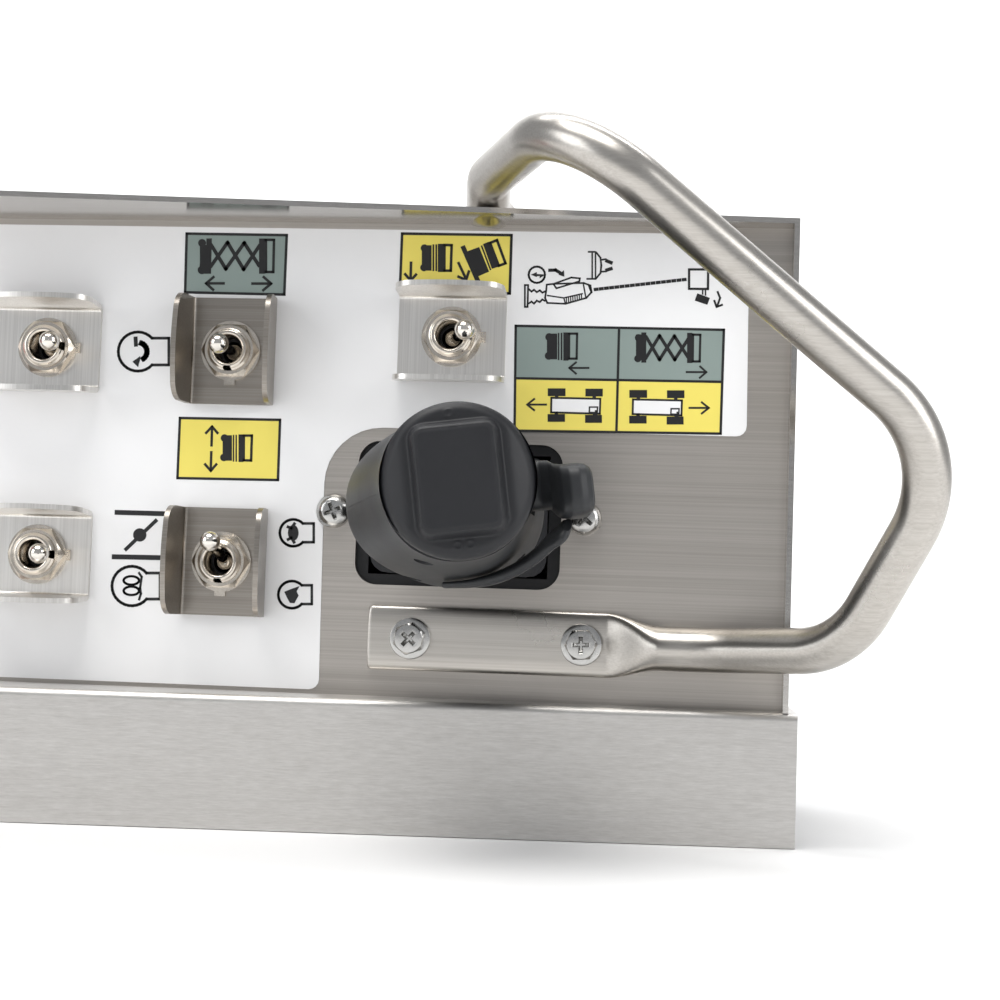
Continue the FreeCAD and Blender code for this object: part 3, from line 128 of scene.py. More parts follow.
def brushed(name, dark, light, grain, rough=(0.26, 0.42), strength=0.25, aniso=0.0):
    """Steel with a drawn grain: grain is the direction, x, y or z, that the strokes run along."""
    m, nt, b = material(name)
    long_, cross = 9.0, 2300.0
    sc = {"x": (long_, cross, cross), "y": (cross, long_, cross), "z": (cross, cross, long_)}[grain]
    v = coords(nt, sc)
    fine = noise(nt, v, 1.0, 3.0, 0.7)
    sc2 = {"x": (4.0, 700.0, 700.0), "y": (700.0, 4.0, 700.0), "z": (700.0, 700.0, 4.0)}[grain]
    broad = noise(nt, coords(nt, sc2), 1.0, 4.0, 0.6)
    cloud = noise(nt, coords(nt, (18, 18, 18)), 1.0, 5.0, 0.6)
    mix = nt.nodes.new("ShaderNodeMix")
    mix.data_type = "RGBA"
    mix.blend_type = "MULTIPLY"
    mix.inputs["Factor"].default_value = 1.0
    c1 = ramp(nt, fine, [(0.30, dark), (0.70, light)])
    c2 = ramp(nt, broad, [(0.25, (0.90, 0.895, 0.89)), (0.75, (1, 1, 1))])
    nt.links.new(c1, mix.inputs["A"])
    nt.links.new(c2, mix.inputs["B"])
    nt.links.new(mix.outputs["Result"], b.inputs["Base Color"])
    b.inputs["Metallic"].default_value = 1.0
    nt.links.new(span(nt, cloud, rough[0], rough[1]), b.inputs["Roughness"])
    p = bump(nt, b, fine, strength, 0.00002)
    bump(nt, b, broad, strength * 0.4, 0.00002, p)
    if aniso:
        b.inputs["Anisotropic"].default_value = aniso
        tg = nt.nodes.new("ShaderNodeTangent")
        tg.direction_type = "RADIAL"
        tg.axis = grain.upper()
        nt.links.new(tg.outputs["Tangent"], b.inputs["Tangent"])
    return m


def plated(name, c, rough=(0.10, 0.22)):
    m, nt, b = material(name)
    n = noise(nt, coords(nt, (260, 260, 260)), 1.0, 5.0, 0.6)
    nt.links.new(ramp(nt, n, [(0.3, [q * 0.82 for q in c]), (0.7, c)]), b.inputs["Base Color"])
    b.inputs["Metallic"].default_value = 1.0
    nt.links.new(span(nt, n, rough[0], rough[1]), b.inputs["Roughness"])
    bump(nt, b, n, 0.12, 0.00003)
    return m


def plastic(name, c, rough, grain=1400.0, strength=0.25, dist=0.00005, spec=0.5, coat=0.0, var=0.10):
    m, nt, b = material(name)
    fine = noise(nt, coords(nt, (grain,) * 3), 1.0, 3.0, 0.6)
    cloud = noise(nt, coords(nt, (35, 35, 35)), 1.0, 5.0, 0.6)
    nt.links.new(ramp(nt, cloud, [(0.3, [q * (1 - var) for q in c]), (0.7, [min(1.0, q * (1 + var * 0.8)) for q in c])]), b.inputs["Base Color"])
    nt.links.new(span(nt, cloud, rough - 0.05, rough + 0.05), b.inputs["Roughness"])
    b.inputs["Specular IOR Level"].default_value = spec
    if coat:
        b.inputs["Coat Weight"].default_value = coat
        b.inputs["Coat Roughness"].default_value = 0.12
    bump(nt, b, fine, strength, dist)
    return m


M = {}
# stainless steel, darkened here as painted shade for the recessed front panel
M["panel"] = brushed("steel_panel_painted_shade", (0.41, 0.385, 0.355), (0.51, 0.48, 0.45), "x", (0.34, 0.42), 0.20, 0.5)
# hood steel lightened as a painted reflection of the bright overlay on the lip underside
M["hood"] = brushed("steel_hood_painted_reflection", (0.52, 0.50, 0.475), (0.62, 0.60, 0.575), "x", (0.13, 0.20), 0.10, 0.3)
# the same stainless steel, lightened here as painted light for the channel's brighter facing
M["skirt"] = brushed("steel_channel_painted_light", (0.57, 0.555, 0.535), (0.68, 0.665, 0.645), "x", (0.34, 0.42), 0.18, 0.5)
# one guard steel in two copies: this one lightened as painted light, the next darkened as painted shade, where the real
# plates differ only in grain direction
M["guard_v"] = brushed("upright_guard_steel_painted_light", (0.72, 0.70, 0.67), (0.87, 0.85, 0.82), "z", (0.26, 0.36), 0.18, 0.4)
M["guard_h"] = brushed("side_guard_steel_painted_shade", (0.30, 0.275, 0.245), (0.40, 0.37, 0.335), "x", (0.28, 0.38), 0.18, 0.4)
M["tube"] = brushed("tube_steel", (0.47, 0.445, 0.41), (0.58, 0.555, 0.52), "x", (0.25, 0.33), 0.07, 0.0)
M["chrome"] = plated("lever_plating", (0.86, 0.82, 0.76), (0.05, 0.12))
M["nickel"] = plated("nickel_plating", (0.74, 0.68, 0.60), (0.14, 0.26))
M["zinc"] = plated("zinc_plating", (0.70, 0.70, 0.70), (0.20, 0.34))
M["bright"] = plated("bright_screw_plating", (0.84, 0.83, 0.81), (0.10, 0.20))
M["bolt"] = plated("bolt_plating", (0.56, 0.555, 0.54), (0.16, 0.28))
M["black"] = plastic("black_moulding", (0.008, 0.008, 0.009), 0.40, spec=0.32)
M["grip"] = plastic("grip_moulding", (0.021, 0.0225, 0.025), 0.46, 1600, 0.30, 0.00006, 0.42)
M["rubber"] = plastic("soft_rubber", (0.0105, 0.011, 0.0135), 0.48, 1500, 0.35, 0.00008, 0.40)
M["rocker"] = plastic("rocker_moulding", (0.075, 0.077, 0.082), 0.46, 1800, 0.25, 0.00005)
M["film"] = plastic("printed_film", (0.90, 0.90, 0.905), 0.36, 900, 0.05, 0.00002, 0.4, 0.12, 0.008)
M["ink_k"] = plastic("film_black", (0.012, 0.012, 0.013), 0.34, 900, 0.06, 0.00002)
M["ink_g"] = plastic("film_grey_green", (0.26, 0.32, 0.30), 0.38, 900, 0.05, 0.00002, 0.4, 0.0, 0.02)
M["ink_y"] = plastic("film_yellow", (0.87, 0.74, 0.15), 0.38, 900, 0.05, 0.00002, 0.4, 0.0, 0.015)
M["ink_w"] = plastic("film_white", (0.90, 0.90, 0.905), 0.36, 900, 0.05, 0.00002, 0.4, 0.0, 0.008)
M["red"] = plastic("red_button_gloss", (0.62, 0.020, 0.020), 0.24, 1200, 0.05, 0.00002, 0.5, 0.4)
M["nylon"] = plastic("nylon", (0.19, 0.19, 0.20), 0.45)
M["board"] = plastic("board", (0.03, 0.20, 0.09), 0.4)
M["brass"] = plated("brass", (0.80, 0.60, 0.28), (0.2, 0.34))
M["gasket"] = plastic("gasket_rubber", (0.03, 0.03, 0.03), 0.7)
M["button"] = plastic("black_button_gloss", (0.03, 0.03, 0.032), 0.25, 1200, 0.05, 0.00002, 0.5, 0.4)

FINISH = {
    "front_panel": "panel", "hood_shell": "hood", "rear_cover": "hood", "base_channel": "skirt",
    "toggle_guards_side": "guard_v", "toggle_guards_upright": "guard_h", "guard_handle": "tube",
    "panel_overlay": "film", "stop_button": "red", "horn_button": "button", "gland_body": "nylon",
    "gland_cap": "nylon", "gland_nut": "nylon", "terminal_block": "nylon", "sensor_board": "board",
    "toggle_terminals": "brass", "rear_gasket": "gasket", "joystick_boot": "rubber", "grip_cap": "rubber",
    "grip_upper_half": "grip", "grip_lower_half": "grip", "trigger": "grip", "thumb_rocker": "rocker",
    "toggle_bodies": "black", "stop_block": "black", "horn_block": "black", "trigger_switch": "black",
    "rocker_switches": "black", "joystick_mount": "black", "horn_bezel": "black", "stop_collar": "black",
    "guard_bolts": "bright", "joystick_screws": "bright", "toggle_washers": "nickel", "toggle_nuts": "nickel",
    "toggle_bushings": "nickel", "start_lever": "chrome", "choke_lever": "chrome", "lift_lever": "chrome",
    "deck_lever": "chrome", "throttle_lever": "chrome",
}
for n, o in NODES.items():
    o.data.materials.clear()
    o.data.materials.append(M[FINISH.get(n, "zinc")])
    for p in o.data.polygons:
        p.use_smooth = True
    if hasattr(o.data, "set_sharp_from_angle"):
        o.data.set_sharp_from_angle(angle=math.radians(28))


# ------------------------------------------------------------------ mesh helpers
def mesh_object(name, verts, faces, mat, body=None, smooth=True, sharp=30.0, clean=True):
    me = bpy.data.meshes.new(name)
    me.from_pydata([tuple(v) for v in verts], [], faces)
    bm = bmesh.new()
    bm.from_mesh(me)
    if clean:
        bmesh.ops.recalc_face_normals(bm, faces=bm.faces)
    bmesh.ops.triangulate(bm, faces=[q for q in bm.faces if len(q.verts) > 4])
    bm.to_mesh(me)
    bm.free()
    o = bpy.data.objects.new(name, me)
    bpy.context.scene.collection.objects.link(o)
    me.materials.append(M[mat] if isinstance(mat, str) else mat)
    if smooth:
        for p in me.polygons:
            p.use_smooth = True
        me.set_sharp_from_angle(angle=math.radians(sharp))
    if body:
        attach(o, body)
    return o


def loft(rings, cap0=True, cap1=True):
    n = len(rings[0])
    verts = [p for r in rings for p in r]
    faces = []
    for i in range(len(rings) - 1):
        for j in range(n):
            a, b = i * n + j, i * n + (j + 1) % n
            faces.append((a, b, b + n, a + n))
    if cap0:
        faces.append(tuple(range(n))[::-1])
    if cap1:
        k = (len(rings) - 1) * n
        faces.append(tuple(k + j for j in range(n)))
    return verts, faces


# ------------------------------------------------------------------ printed film
DECALS = [
    ('fill', 'g', 1, True, [(-170.06, 128.25), (-141.19, 128.21), (-141.18, 111.3), (-169.74, 111.45)]),
    ('line', 'k', 0.49, True, [(-170.06, 128.25), (-141.19, 128.21), (-141.18, 111.3), (-169.74, 111.45)]),
    ('fill', 'k', 3, True, [(-166.08, 124.79), (-164.22, 125.14), (-164.3, 126.93), (-162.69, 127.01), (-162.49, 116.86), (-164.55, 116.83), (-164.57, 117.21), (-166, 117.44), (-165.86, 120)]),
    ('fill', 'k', 3, True, [(-164.31, 125.65), (-164.35, 125.29), (-164.5, 124.97), (-164.74, 124.71), (-165.06, 124.54), (-165.42, 124.48), (-165.78, 124.53), (-166.11, 124.69), (-166.38, 124.94), (-166.56, 125.26), (-166.63, 125.61), (-166.59, 125.97), (-166.44, 126.29), (-166.2, 126.55), (-165.88, 126.72), (-165.52, 126.78), (-165.16, 126.73), (-164.83, 126.57), (-164.56, 126.32), (-164.38, 126)]),
    ('fill', 'k', 3, True, [(-163.96, 117.92), (-164, 117.55), (-164.16, 117.21), (-164.42, 116.94), (-164.75, 116.76), (-165.13, 116.69), (-165.51, 116.75), (-165.86, 116.91), (-166.14, 117.18), (-166.33, 117.51), (-166.41, 117.88), (-166.37, 118.26), (-166.21, 118.6), (-165.95, 118.87), (-165.62, 119.05), (-165.24, 119.12), (-164.86, 119.06), (-164.51, 118.9), (-164.22, 118.63), (-164.03, 118.3)]),
    ('line', 'k', 0.67, False, [(-162.86, 125.16), (-158.3, 118.33), (-153.29, 125.81), (-148.7, 119.31)]),
    ('line', 'k', 0.67, False, [(-162.71, 118.9), (-158.12, 125.86), (-153.15, 118.29), (-148.83, 125.23)]),
    ('fill', 'k', 3, True, [(-149.1, 127.14), (-147.24, 127.17), (-146.81, 117.12), (-148.67, 117.09)]),
    ('line', 'k', 0.49, True, [(-147.09, 126.79), (-144.79, 126.82), (-144.59, 117.66), (-146.7, 117.63)]),
    ('line', 'k', 0.49, False, [(-163.72, 114.1), (-158.57, 114.19)]),
    ('line', 'k', 0.49, False, [(-161.61, 116.05), (-163.78, 114.1), (-161.57, 112.22)]),
    ('line', 'k', 0.49, False, [(-150.6, 114.26), (-145.15, 114.35)]),
    ('line', 'k', 0.49, False, [(-147.41, 116.28), (-145.09, 114.35), (-147.37, 112.34)]),
    ('fill', 'y', 1, True, [(-108.32, 129.11), (-77.52, 129.1), (-77.46, 112.72), (-108.33, 112.69)]),
    ('line', 'k', 0.49, True, [(-108.32, 129.11), (-77.52, 129.1), (-77.46, 112.72), (-108.33, 112.69)]),
    ('fill', 'k', 3, True, [(-102.64, 125.91), (-99.87, 125.95), (-99.6, 118.76), (-102.37, 118.72)]),
    ('fill', 'k', 3, True, [(-100.78, 125.11), (-100.82, 124.78), (-100.96, 124.48), (-101.19, 124.24), (-101.48, 124.08), (-101.81, 124.03), (-102.15, 124.07), (-102.45, 124.22), (-102.7, 124.45), (-102.86, 124.75), (-102.93, 125.08), (-102.88, 125.41), (-102.74, 125.72), (-102.52, 125.96), (-102.22, 126.11), (-101.89, 126.17), (-101.56, 126.12), (-101.26, 125.97), (-101.01, 125.74), (-100.85, 125.44)]),
    ('fill', 'k', 3, True, [(-100.7, 119.63), (-100.74, 119.29), (-100.89, 118.99), (-101.11, 118.75), (-101.41, 118.6), (-101.73, 118.54), (-102.07, 118.59), (-102.37, 118.73), (-102.62, 118.97), (-102.78, 119.26), (-102.85, 119.59), (-102.81, 119.92), (-102.66, 120.23), (-102.44, 120.47), (-102.14, 120.62), (-101.81, 120.68), (-101.48, 120.63), (-101.18, 120.49), (-100.93, 120.25), (-100.77, 119.96)]),
    ('fill', 'k', 3, True, [(-99.63, 126.2), (-99.12, 126.21), (-98.84, 118.65), (-99.35, 118.64)]),
    ('fill', 'k', 3, True, [(-98.81, 126.22), (-98.3, 126.22), (-98.02, 118.66), (-98.53, 118.65)]),
    ('fill', 'k', 3, True, [(-98.12, 126.35), (-96.36, 126.38), (-96.07, 118.44), (-97.83, 118.41)]),
    ('line', 'k', 0.49, True, [(-96.22, 126.06), (-94.21, 126.03), (-94.2, 118.85), (-96.02, 118.82)]),
    ('line', 'k', 0.49, False, [(-105.49, 121.07), (-105.44, 116.4)]),
    ('line', 'k', 0.49, False, [(-107.13, 117.76), (-105.42, 115.89), (-103.85, 117.69)]),
    ('line', 'k', 0.85, False, [(-90.99, 125.57), (-86.31, 115.71)]),
    ('fill', 'k', 3, True, [(-89.87, 124.33), (-86.47, 125.64), (-83.41, 118.77), (-86.49, 117.34)]),
    ('line', 'k', 0.3, False, [(-85.79, 125.96), (-83.06, 119.28)]),
    ('fill', 'k', 3, True, [(-85.44, 126.47), (-83.89, 127.12), (-80.77, 120.19), (-82.69, 119.54)]),
    ('line', 'k', 0.49, True, [(-83.44, 126.82), (-81.53, 127.66), (-78.93, 121.16), (-80.78, 120.44)]),
    ('line', 'k', 0.49, False, [(-92.15, 121.15), (-89.99, 116.9)]),
    ('line', 'k', 0.49, False, [(-92.13, 117.25), (-89.84, 116.28), (-89.05, 118.87)]),
    ('line', 'k', 0.36, True, [(-67.82, 118.13), (-67.91, 117.42), (-68.21, 116.78), (-68.69, 116.27), (-69.31, 115.94), (-70.01, 115.81), (-70.71, 115.91), (-71.35, 116.23), (-71.87, 116.72), (-72.21, 117.35), (-72.35, 118.05), (-72.26, 118.76), (-71.96, 119.4), (-71.48, 119.91), (-70.85, 120.25), (-70.16, 120.37), (-69.46, 120.27), (-68.81, 119.96), (-68.3, 119.46), (-67.95, 118.83)]),
    ('fill', 'k', 3, True, [(-71.75, 118.06), (-70.11, 118.84), (-70.09, 118.32), (-67.68, 118.18), (-69.31, 117.08), (-69.24, 117.73), (-70.07, 117.67), (-70.06, 117.44)]),
    ('line', 'k', 0.59, False, [(-66.71, 119.4), (-64.91, 119.48), (-63.64, 118.75)]),
    ('fill', 'k', 3, True, [(-64.08, 118.19), (-62.41, 117.66), (-62.56, 119.51)]),
    ('line', 'k', 0.32, True, [(-73.31, 115.15), (-72.39, 115.17), (-72.37, 109.03), (-73.11, 109.02)]),
    ('line', 'k', 0.32, False, [(-72.26, 114.1), (-71.4, 113.33), (-70.73, 113.89), (-69.92, 113.21), (-69.11, 113.74), (-68.39, 113.1), (-67.57, 113.48)]),
    ('line', 'k', 0.32, False, [(-72.21, 109.92), (-71.31, 110.54), (-70.6, 109.99), (-69.84, 110.84), (-69, 110.44), (-68.33, 111.19), (-67.53, 110.79)]),
    ('fill', 'w', 2, True, [(-67.22, 115.35), (-65.38, 115.61), (-56.97, 115.98), (-55.11, 115.32), (-54.73, 113.47), (-56.15, 111.83), (-61.84, 110.1), (-66.91, 110.25), (-67.56, 111.63), (-67.34, 113.49)]),
    ('line', 'k', 0.32, True, [(-67.22, 115.35), (-65.38, 115.61), (-56.97, 115.98), (-55.11, 115.32), (-54.73, 113.47), (-56.15, 111.83), (-61.84, 110.1), (-66.91, 110.25), (-67.56, 111.63), (-67.34, 113.49)]),
    ('fill', 'w', 2, True, [(-65.38, 115.57), (-60.47, 117.46), (-58.07, 117.27), (-58.23, 116.43), (-64.51, 114.37)]),
    ('line', 'k', 0.32, True, [(-65.38, 115.57), (-60.47, 117.46), (-58.07, 117.27), (-58.23, 116.43), (-64.51, 114.37)]),
    ('line', 'k', 0.27, False, [(-66.98, 112.33), (-62.35, 111.72), (-57.2, 113.01)]),
    ('line', 'k', 0.27, False, [(-62.35, 111.72), (-61.89, 110.15)]),
    ('line', 'k', 0.23, False, [(-61.66, 111.73), (-61.57, 110.25)]),
    ('line', 'k', 0.23, False, [(-61.07, 111.88), (-60.98, 110.42)]),
    ('line', 'k', 0.23, False, [(-60.48, 112.03), (-60.38, 110.58)]),
    ('line', 'k', 0.23, False, [(-59.88, 112.18), (-59.79, 110.75)]),
    ('line', 'k', 0.23, False, [(-59.29, 112.33), (-59.2, 110.92)]),
    ('line', 'k', 0.23, False, [(-58.7, 112.48), (-58.61, 111.09)]),
    ('line', 'k', 0.23, False, [(-58.1, 112.63), (-58.02, 111.26)]),
    ('line', 'k', 0.23, False, [(-57.51, 112.78), (-57.42, 111.42)]),
    ('line', 'k', 0.27, False, [(-57.11, 115.89), (-56.24, 111.82)]),
    ('line', 'k', 0.27, False, [(-55.72, 115.68), (-54.82, 113.33)]),
    ('line', 'k', 0.32, False, [(-56, 124.73), (-54.03, 124.76)]),
    ('line', 'k', 0.27, False, [(-54.9, 124.74), (-54.66, 117.18)]),
    ('line', 'k', 0.27, False, [(-53.98, 124.76), (-53.75, 117.2)]),
    ('line', 'k', 0.32, False, [(-56.13, 117.16), (-53.65, 117.2)]),
    ('line', 'k', 0.32, False, [(-53.79, 124.62), (-52.55, 123.11), (-52.26, 120.93), (-52.42, 118.84), (-53.57, 117.34)]),
    ('line', 'k', 0.32, False, [(-52.26, 122.56), (-50.98, 122.76)]),
    ('line', 'k', 0.63, False, [(-50.97, 122.34), (-49.39, 121.72)]),
    ('line', 'k', 0.32, False, [(-52.25, 119.22), (-50.88, 119.33)]),
    ('line', 'k', 0.63, False, [(-50.89, 119.65), (-49.34, 120.19)]),
    ('line', 'k', 0.59, False, [(-53.93, 114.23), (-53.06, 114.34)]),
    ('line', 'k', 0.59, False, [(-52.5, 114.41), (-51.63, 114.52)]),
    ('line', 'k', 0.59, False, [(-51.08, 114.6), (-50.2, 114.71)]),
    ('line', 'k', 0.59, False, [(-49.65, 114.78), (-48.78, 114.89)]),
    ('line', 'k', 0.59, False, [(-48.23, 114.96), (-47.35, 115.07)]),
    ('line', 'k', 0.59, False, [(-46.8, 115.15), (-45.93, 115.26)]),
    ('line', 'k', 0.59, False, [(-45.38, 115.33), (-44.51, 115.44)]),
    ('line', 'k', 0.59, False, [(-43.96, 115.51), (-43.09, 115.63)]),
    ('line', 'k', 0.59, False, [(-42.53, 115.7), (-41.66, 115.81)]),
    ('line', 'k', 0.59, False, [(-41.11, 115.88), (-40.24, 115.99)]),
    ('line', 'k', 0.59, False, [(-39.69, 116.06), (-38.82, 116.17)]),
    ('line', 'k', 0.59, False, [(-38.27, 116.25), (-37.41, 116.36)]),
    ('line', 'k', 0.59, False, [(-36.86, 116.43), (-35.99, 116.54)]),
    ('line', 'k', 0.59, False, [(-35.44, 116.61), (-34.57, 116.72)]),
    ('line', 'k', 0.59, False, [(-34.02, 116.79), (-33.15, 116.91)]),
    ('line', 'k', 0.59, False, [(-32.6, 116.98), (-31.74, 117.09)]),
    ('line', 'k', 0.59, False, [(-31.19, 117.16), (-30.32, 117.27)]),
    ('line', 'k', 0.59, False, [(-29.77, 117.34), (-28.91, 117.45)]),
    ('line', 'k', 0.41, True, [(-28.07, 120.25), (-22.85, 120.33), (-22.75, 114.9), (-27.92, 114.86)]),
    ('line', 'k', 0.27, False, [(-24.21, 121.83), (-24.17, 120.5)]),
    ('line', 'k', 0.27, False, [(-23.43, 121.62), (-23.4, 120.51)]),
    ('fill', 'k', 3, True, [(-24.89, 123.44), (-22.86, 122.45), (-23.2, 121.62), (-25.32, 122.6)]),
    ('line', 'k', 0.27, False, [(-24.19, 114.69), (-24.16, 113.4)]),
    ('line', 'k', 0.27, False, [(-23.42, 114.7), (-23.38, 113.14)]),
    ('fill', 'k', 3, True, [(-25.62, 113.65), (-22.14, 112.42), (-22.81, 110.52), (-26.29, 111.61)]),
    ('line', 'k', 0.36, False, [(-20.1, 114.21), (-19.38, 112.47), (-20.08, 110.16)]),
    ('line', 'k', 0.36, False, [(-20.94, 111.75), (-20.26, 109.97), (-18.69, 110.6)]),
    ('fill', 'g', 1, True, [(-75.47, 103.68), (-46.82, 103.58), (-46.75, 89.16), (-75.06, 89.05)]),
    ('fill', 'g', 1, True, [(-46.82, 103.58), (-18.1, 103.67), (-18.44, 89.29), (-46.75, 89.16)]),
    ('fill', 'y', 1, True, [(-75.06, 89.05), (-46.75, 89.16), (-46.67, 74.7), (-74.8, 74.46)]),
    ('fill', 'y', 1, True, [(-46.75, 89.16), (-18.44, 89.29), (-18.23, 75.05), (-46.67, 74.7)]),
    ('line', 'k', 0.45, True, [(-75.47, 103.68), (-18.1, 103.67), (-18.23, 75.05), (-74.8, 74.46)]),
    ('line', 'k', 0.45, False, [(-46.82, 103.58), (-46.67, 74.7)]),
    ('line', 'k', 0.45, False, [(-75.06, 89.05), (-18.44, 89.29)]),
    ('fill', 'k', 3, True, [(-66.72, 101.67), (-63.87, 101.73), (-63.64, 94.56), (-66.49, 94.5)]),
    ('fill', 'k', 3, True, [(-64.94, 100.73), (-64.99, 100.39), (-65.13, 100.08), (-65.37, 99.83), (-65.67, 99.66), (-66.01, 99.6), (-66.35, 99.65), (-66.67, 99.8), (-66.92, 100.04), (-67.09, 100.35), (-67.15, 100.69), (-67.11, 101.03), (-66.96, 101.35), (-66.73, 101.6), (-66.42, 101.76), (-66.08, 101.82), (-65.74, 101.77), (-65.43, 101.62), (-65.18, 101.38), (-65.01, 101.08)]),
    ('fill', 'k', 3, True, [(-64.91, 95.51), (-64.95, 95.16), (-65.1, 94.85), (-65.34, 94.6), (-65.64, 94.44), (-65.98, 94.38), (-66.32, 94.42), (-66.63, 94.57), (-66.89, 94.81), (-67.05, 95.12), (-67.12, 95.46), (-67.08, 95.81), (-66.93, 96.12), (-66.69, 96.37), (-66.39, 96.53), (-66.05, 96.59), (-65.71, 96.55), (-65.39, 96.39), (-65.14, 96.15), (-64.98, 95.85)]),
    ('fill', 'k', 3, True, [(-63.69, 101.96), (-63.28, 101.97), (-63.03, 94.34), (-63.45, 94.34)]),
    ('fill', 'k', 3, True, [(-62.91, 101.98), (-62.45, 101.99), (-62.21, 94.36), (-62.67, 94.35)]),
    ('fill', 'k', 3, True, [(-62.18, 102.08), (-60.76, 102.11), (-60.5, 94.26), (-61.93, 94.23)]),
    ('line', 'k', 0.41, True, [(-60.56, 101.79), (-58.36, 101.83), (-58.27, 94.86), (-60.38, 94.82)]),
    ('line', 'k', 0.36, False, [(-60.21, 92.23), (-54.8, 92.35)]),
    ('line', 'k', 0.36, False, [(-58.33, 93.89), (-60.21, 92.23), (-58.23, 90.62)]),
    ('fill', 'k', 3, True, [(-42.11, 101.92), (-40.52, 101.95), (-40.31, 94.82), (-41.9, 94.79)]),
    ('fill', 'k', 3, True, [(-40.67, 102.5), (-39.3, 102.53), (-39.06, 94.16), (-40.42, 94.13)]),
    ('fill', 'k', 3, True, [(-40.4, 101.03), (-40.44, 100.72), (-40.57, 100.43), (-40.79, 100.21), (-41.06, 100.06), (-41.37, 100), (-41.68, 100.04), (-41.97, 100.18), (-42.2, 100.4), (-42.35, 100.68), (-42.41, 100.99), (-42.37, 101.31), (-42.23, 101.59), (-42.02, 101.82), (-41.74, 101.97), (-41.43, 102.03), (-41.12, 101.98), (-40.84, 101.84), (-40.61, 101.62), (-40.46, 101.34)]),
    ('fill', 'k', 3, True, [(-40.41, 95.23), (-40.45, 94.92), (-40.58, 94.63), (-40.8, 94.41), (-41.07, 94.26), (-41.38, 94.2), (-41.69, 94.24), (-41.98, 94.38), (-42.21, 94.6), (-42.36, 94.88), (-42.41, 95.19), (-42.37, 95.5), (-42.24, 95.79), (-42.03, 96.02), (-41.75, 96.17), (-41.44, 96.22), (-41.13, 96.18), (-40.85, 96.04), (-40.62, 95.82), (-40.47, 95.54)]),
    ('line', 'k', 0.59, False, [(-39.36, 101.42), (-35.45, 95.06), (-31.55, 101.67), (-27.76, 96)]),
    ('line', 'k', 0.59, False, [(-39.27, 95.3), (-35.64, 101.68), (-31.27, 95.15), (-27.8, 100.91)]),
    ('fill', 'k', 3, True, [(-28.12, 102.65), (-26.67, 102.68), (-26.44, 94.33), (-27.89, 94.3)]),
    ('line', 'k', 0.41, True, [(-26.48, 102.18), (-24.48, 102.17), (-24.46, 94.79), (-26.36, 94.75)]),
    ('line', 'k', 0.36, False, [(-28.04, 91.78), (-22.62, 91.89)]),
    ('line', 'k', 0.36, False, [(-24.38, 93.46), (-22.57, 91.89), (-24.38, 90.21)]),
    ('fill', 'w', 2, True, [(-64.9, 83.83), (-51.38, 83.86), (-51.39, 79.73), (-64.85, 79.77)]),
    ('line', 'k', 0.36, True, [(-64.9, 83.83), (-51.38, 83.86), (-51.39, 79.73), (-64.85, 79.77)]),
    ('fill', 'k', 3, True, [(-65.99, 86.43), (-61.08, 86.54), (-61.01, 84.38), (-65.92, 84.27)]),
    ('fill', 'k', 3, True, [(-55.58, 86.57), (-50.78, 86.68), (-50.72, 84.52), (-55.51, 84.41)]),
    ('fill', 'k', 3, True, [(-65.8, 79.29), (-60.99, 79.41), (-60.92, 77.25), (-65.73, 77.13)]),
    ('fill', 'k', 3, True, [(-55.44, 79.31), (-50.79, 79.42), (-50.72, 77.22), (-55.37, 77.1)]),
    ('line', 'k', 0.63, False, [(-63.44, 84.41), (-63.42, 83.77)]),
    ('line', 'k', 0.63, False, [(-53.09, 84.56), (-53.07, 83.92)]),
    ('line', 'k', 0.63, False, [(-63.39, 79.81), (-63.37, 79.26)]),
    ('line', 'k', 0.27, True, [(-54.28, 81.5), (-52.08, 81.55), (-52.13, 79.99), (-54.32, 80.02)]),
    ('fill', 'k', 3, True, [(-52.79, 80.7), (-52.06, 80.72), (-52.01, 79.16), (-53.29, 79.13), (-53.31, 79.87), (-52.77, 80.06)]),
    ('fill', 'w', 2, True, [(-42.4, 83.89), (-29, 83.92), (-29.02, 79.8), (-42.37, 79.85)]),
    ('line', 'k', 0.36, True, [(-42.4, 83.89), (-29, 83.92), (-29.02, 79.8), (-42.37, 79.85)]),
    ('fill', 'k', 3, True, [(-43.48, 86.48), (-38.61, 86.59), (-38.54, 84.43), (-43.41, 84.32)]),
    ('fill', 'k', 3, True, [(-33.16, 86.62), (-28.4, 86.73), (-28.34, 84.58), (-33.1, 84.47)]),
    ('fill', 'k', 3, True, [(-43.31, 79.37), (-38.54, 79.48), (-38.47, 77.33), (-43.24, 77.22)]),
    ('fill', 'k', 3, True, [(-33.04, 79.39), (-28.42, 79.5), (-28.36, 77.31), (-32.98, 77.19)]),
    ('line', 'k', 0.63, False, [(-40.96, 84.47), (-40.94, 83.83)]),
    ('line', 'k', 0.63, False, [(-30.7, 84.62), (-30.68, 83.97)]),
    ('line', 'k', 0.63, False, [(-40.91, 79.89), (-40.89, 79.34)]),
    ('line', 'k', 0.27, True, [(-31.88, 81.57), (-29.71, 81.62), (-29.75, 80.06), (-31.93, 80.1)]),
    ('fill', 'k', 3, True, [(-30.41, 80.78), (-29.68, 80.8), (-29.64, 79.24), (-30.91, 79.21), (-30.93, 79.94), (-30.39, 80.14)]),
    ('line', 'k', 0.36, False, [(-71.5, 81.78), (-66.21, 81.91)]),
    ('line', 'k', 0.36, False, [(-69.57, 83.44), (-71.54, 81.78), (-69.47, 80.22)]),
    ('line', 'k', 0.36, False, [(-27, 81.91), (-21.67, 82.04)]),
    ('line', 'k', 0.36, False, [(-23.65, 83.59), (-21.63, 82.04), (-23.57, 80.39)]),
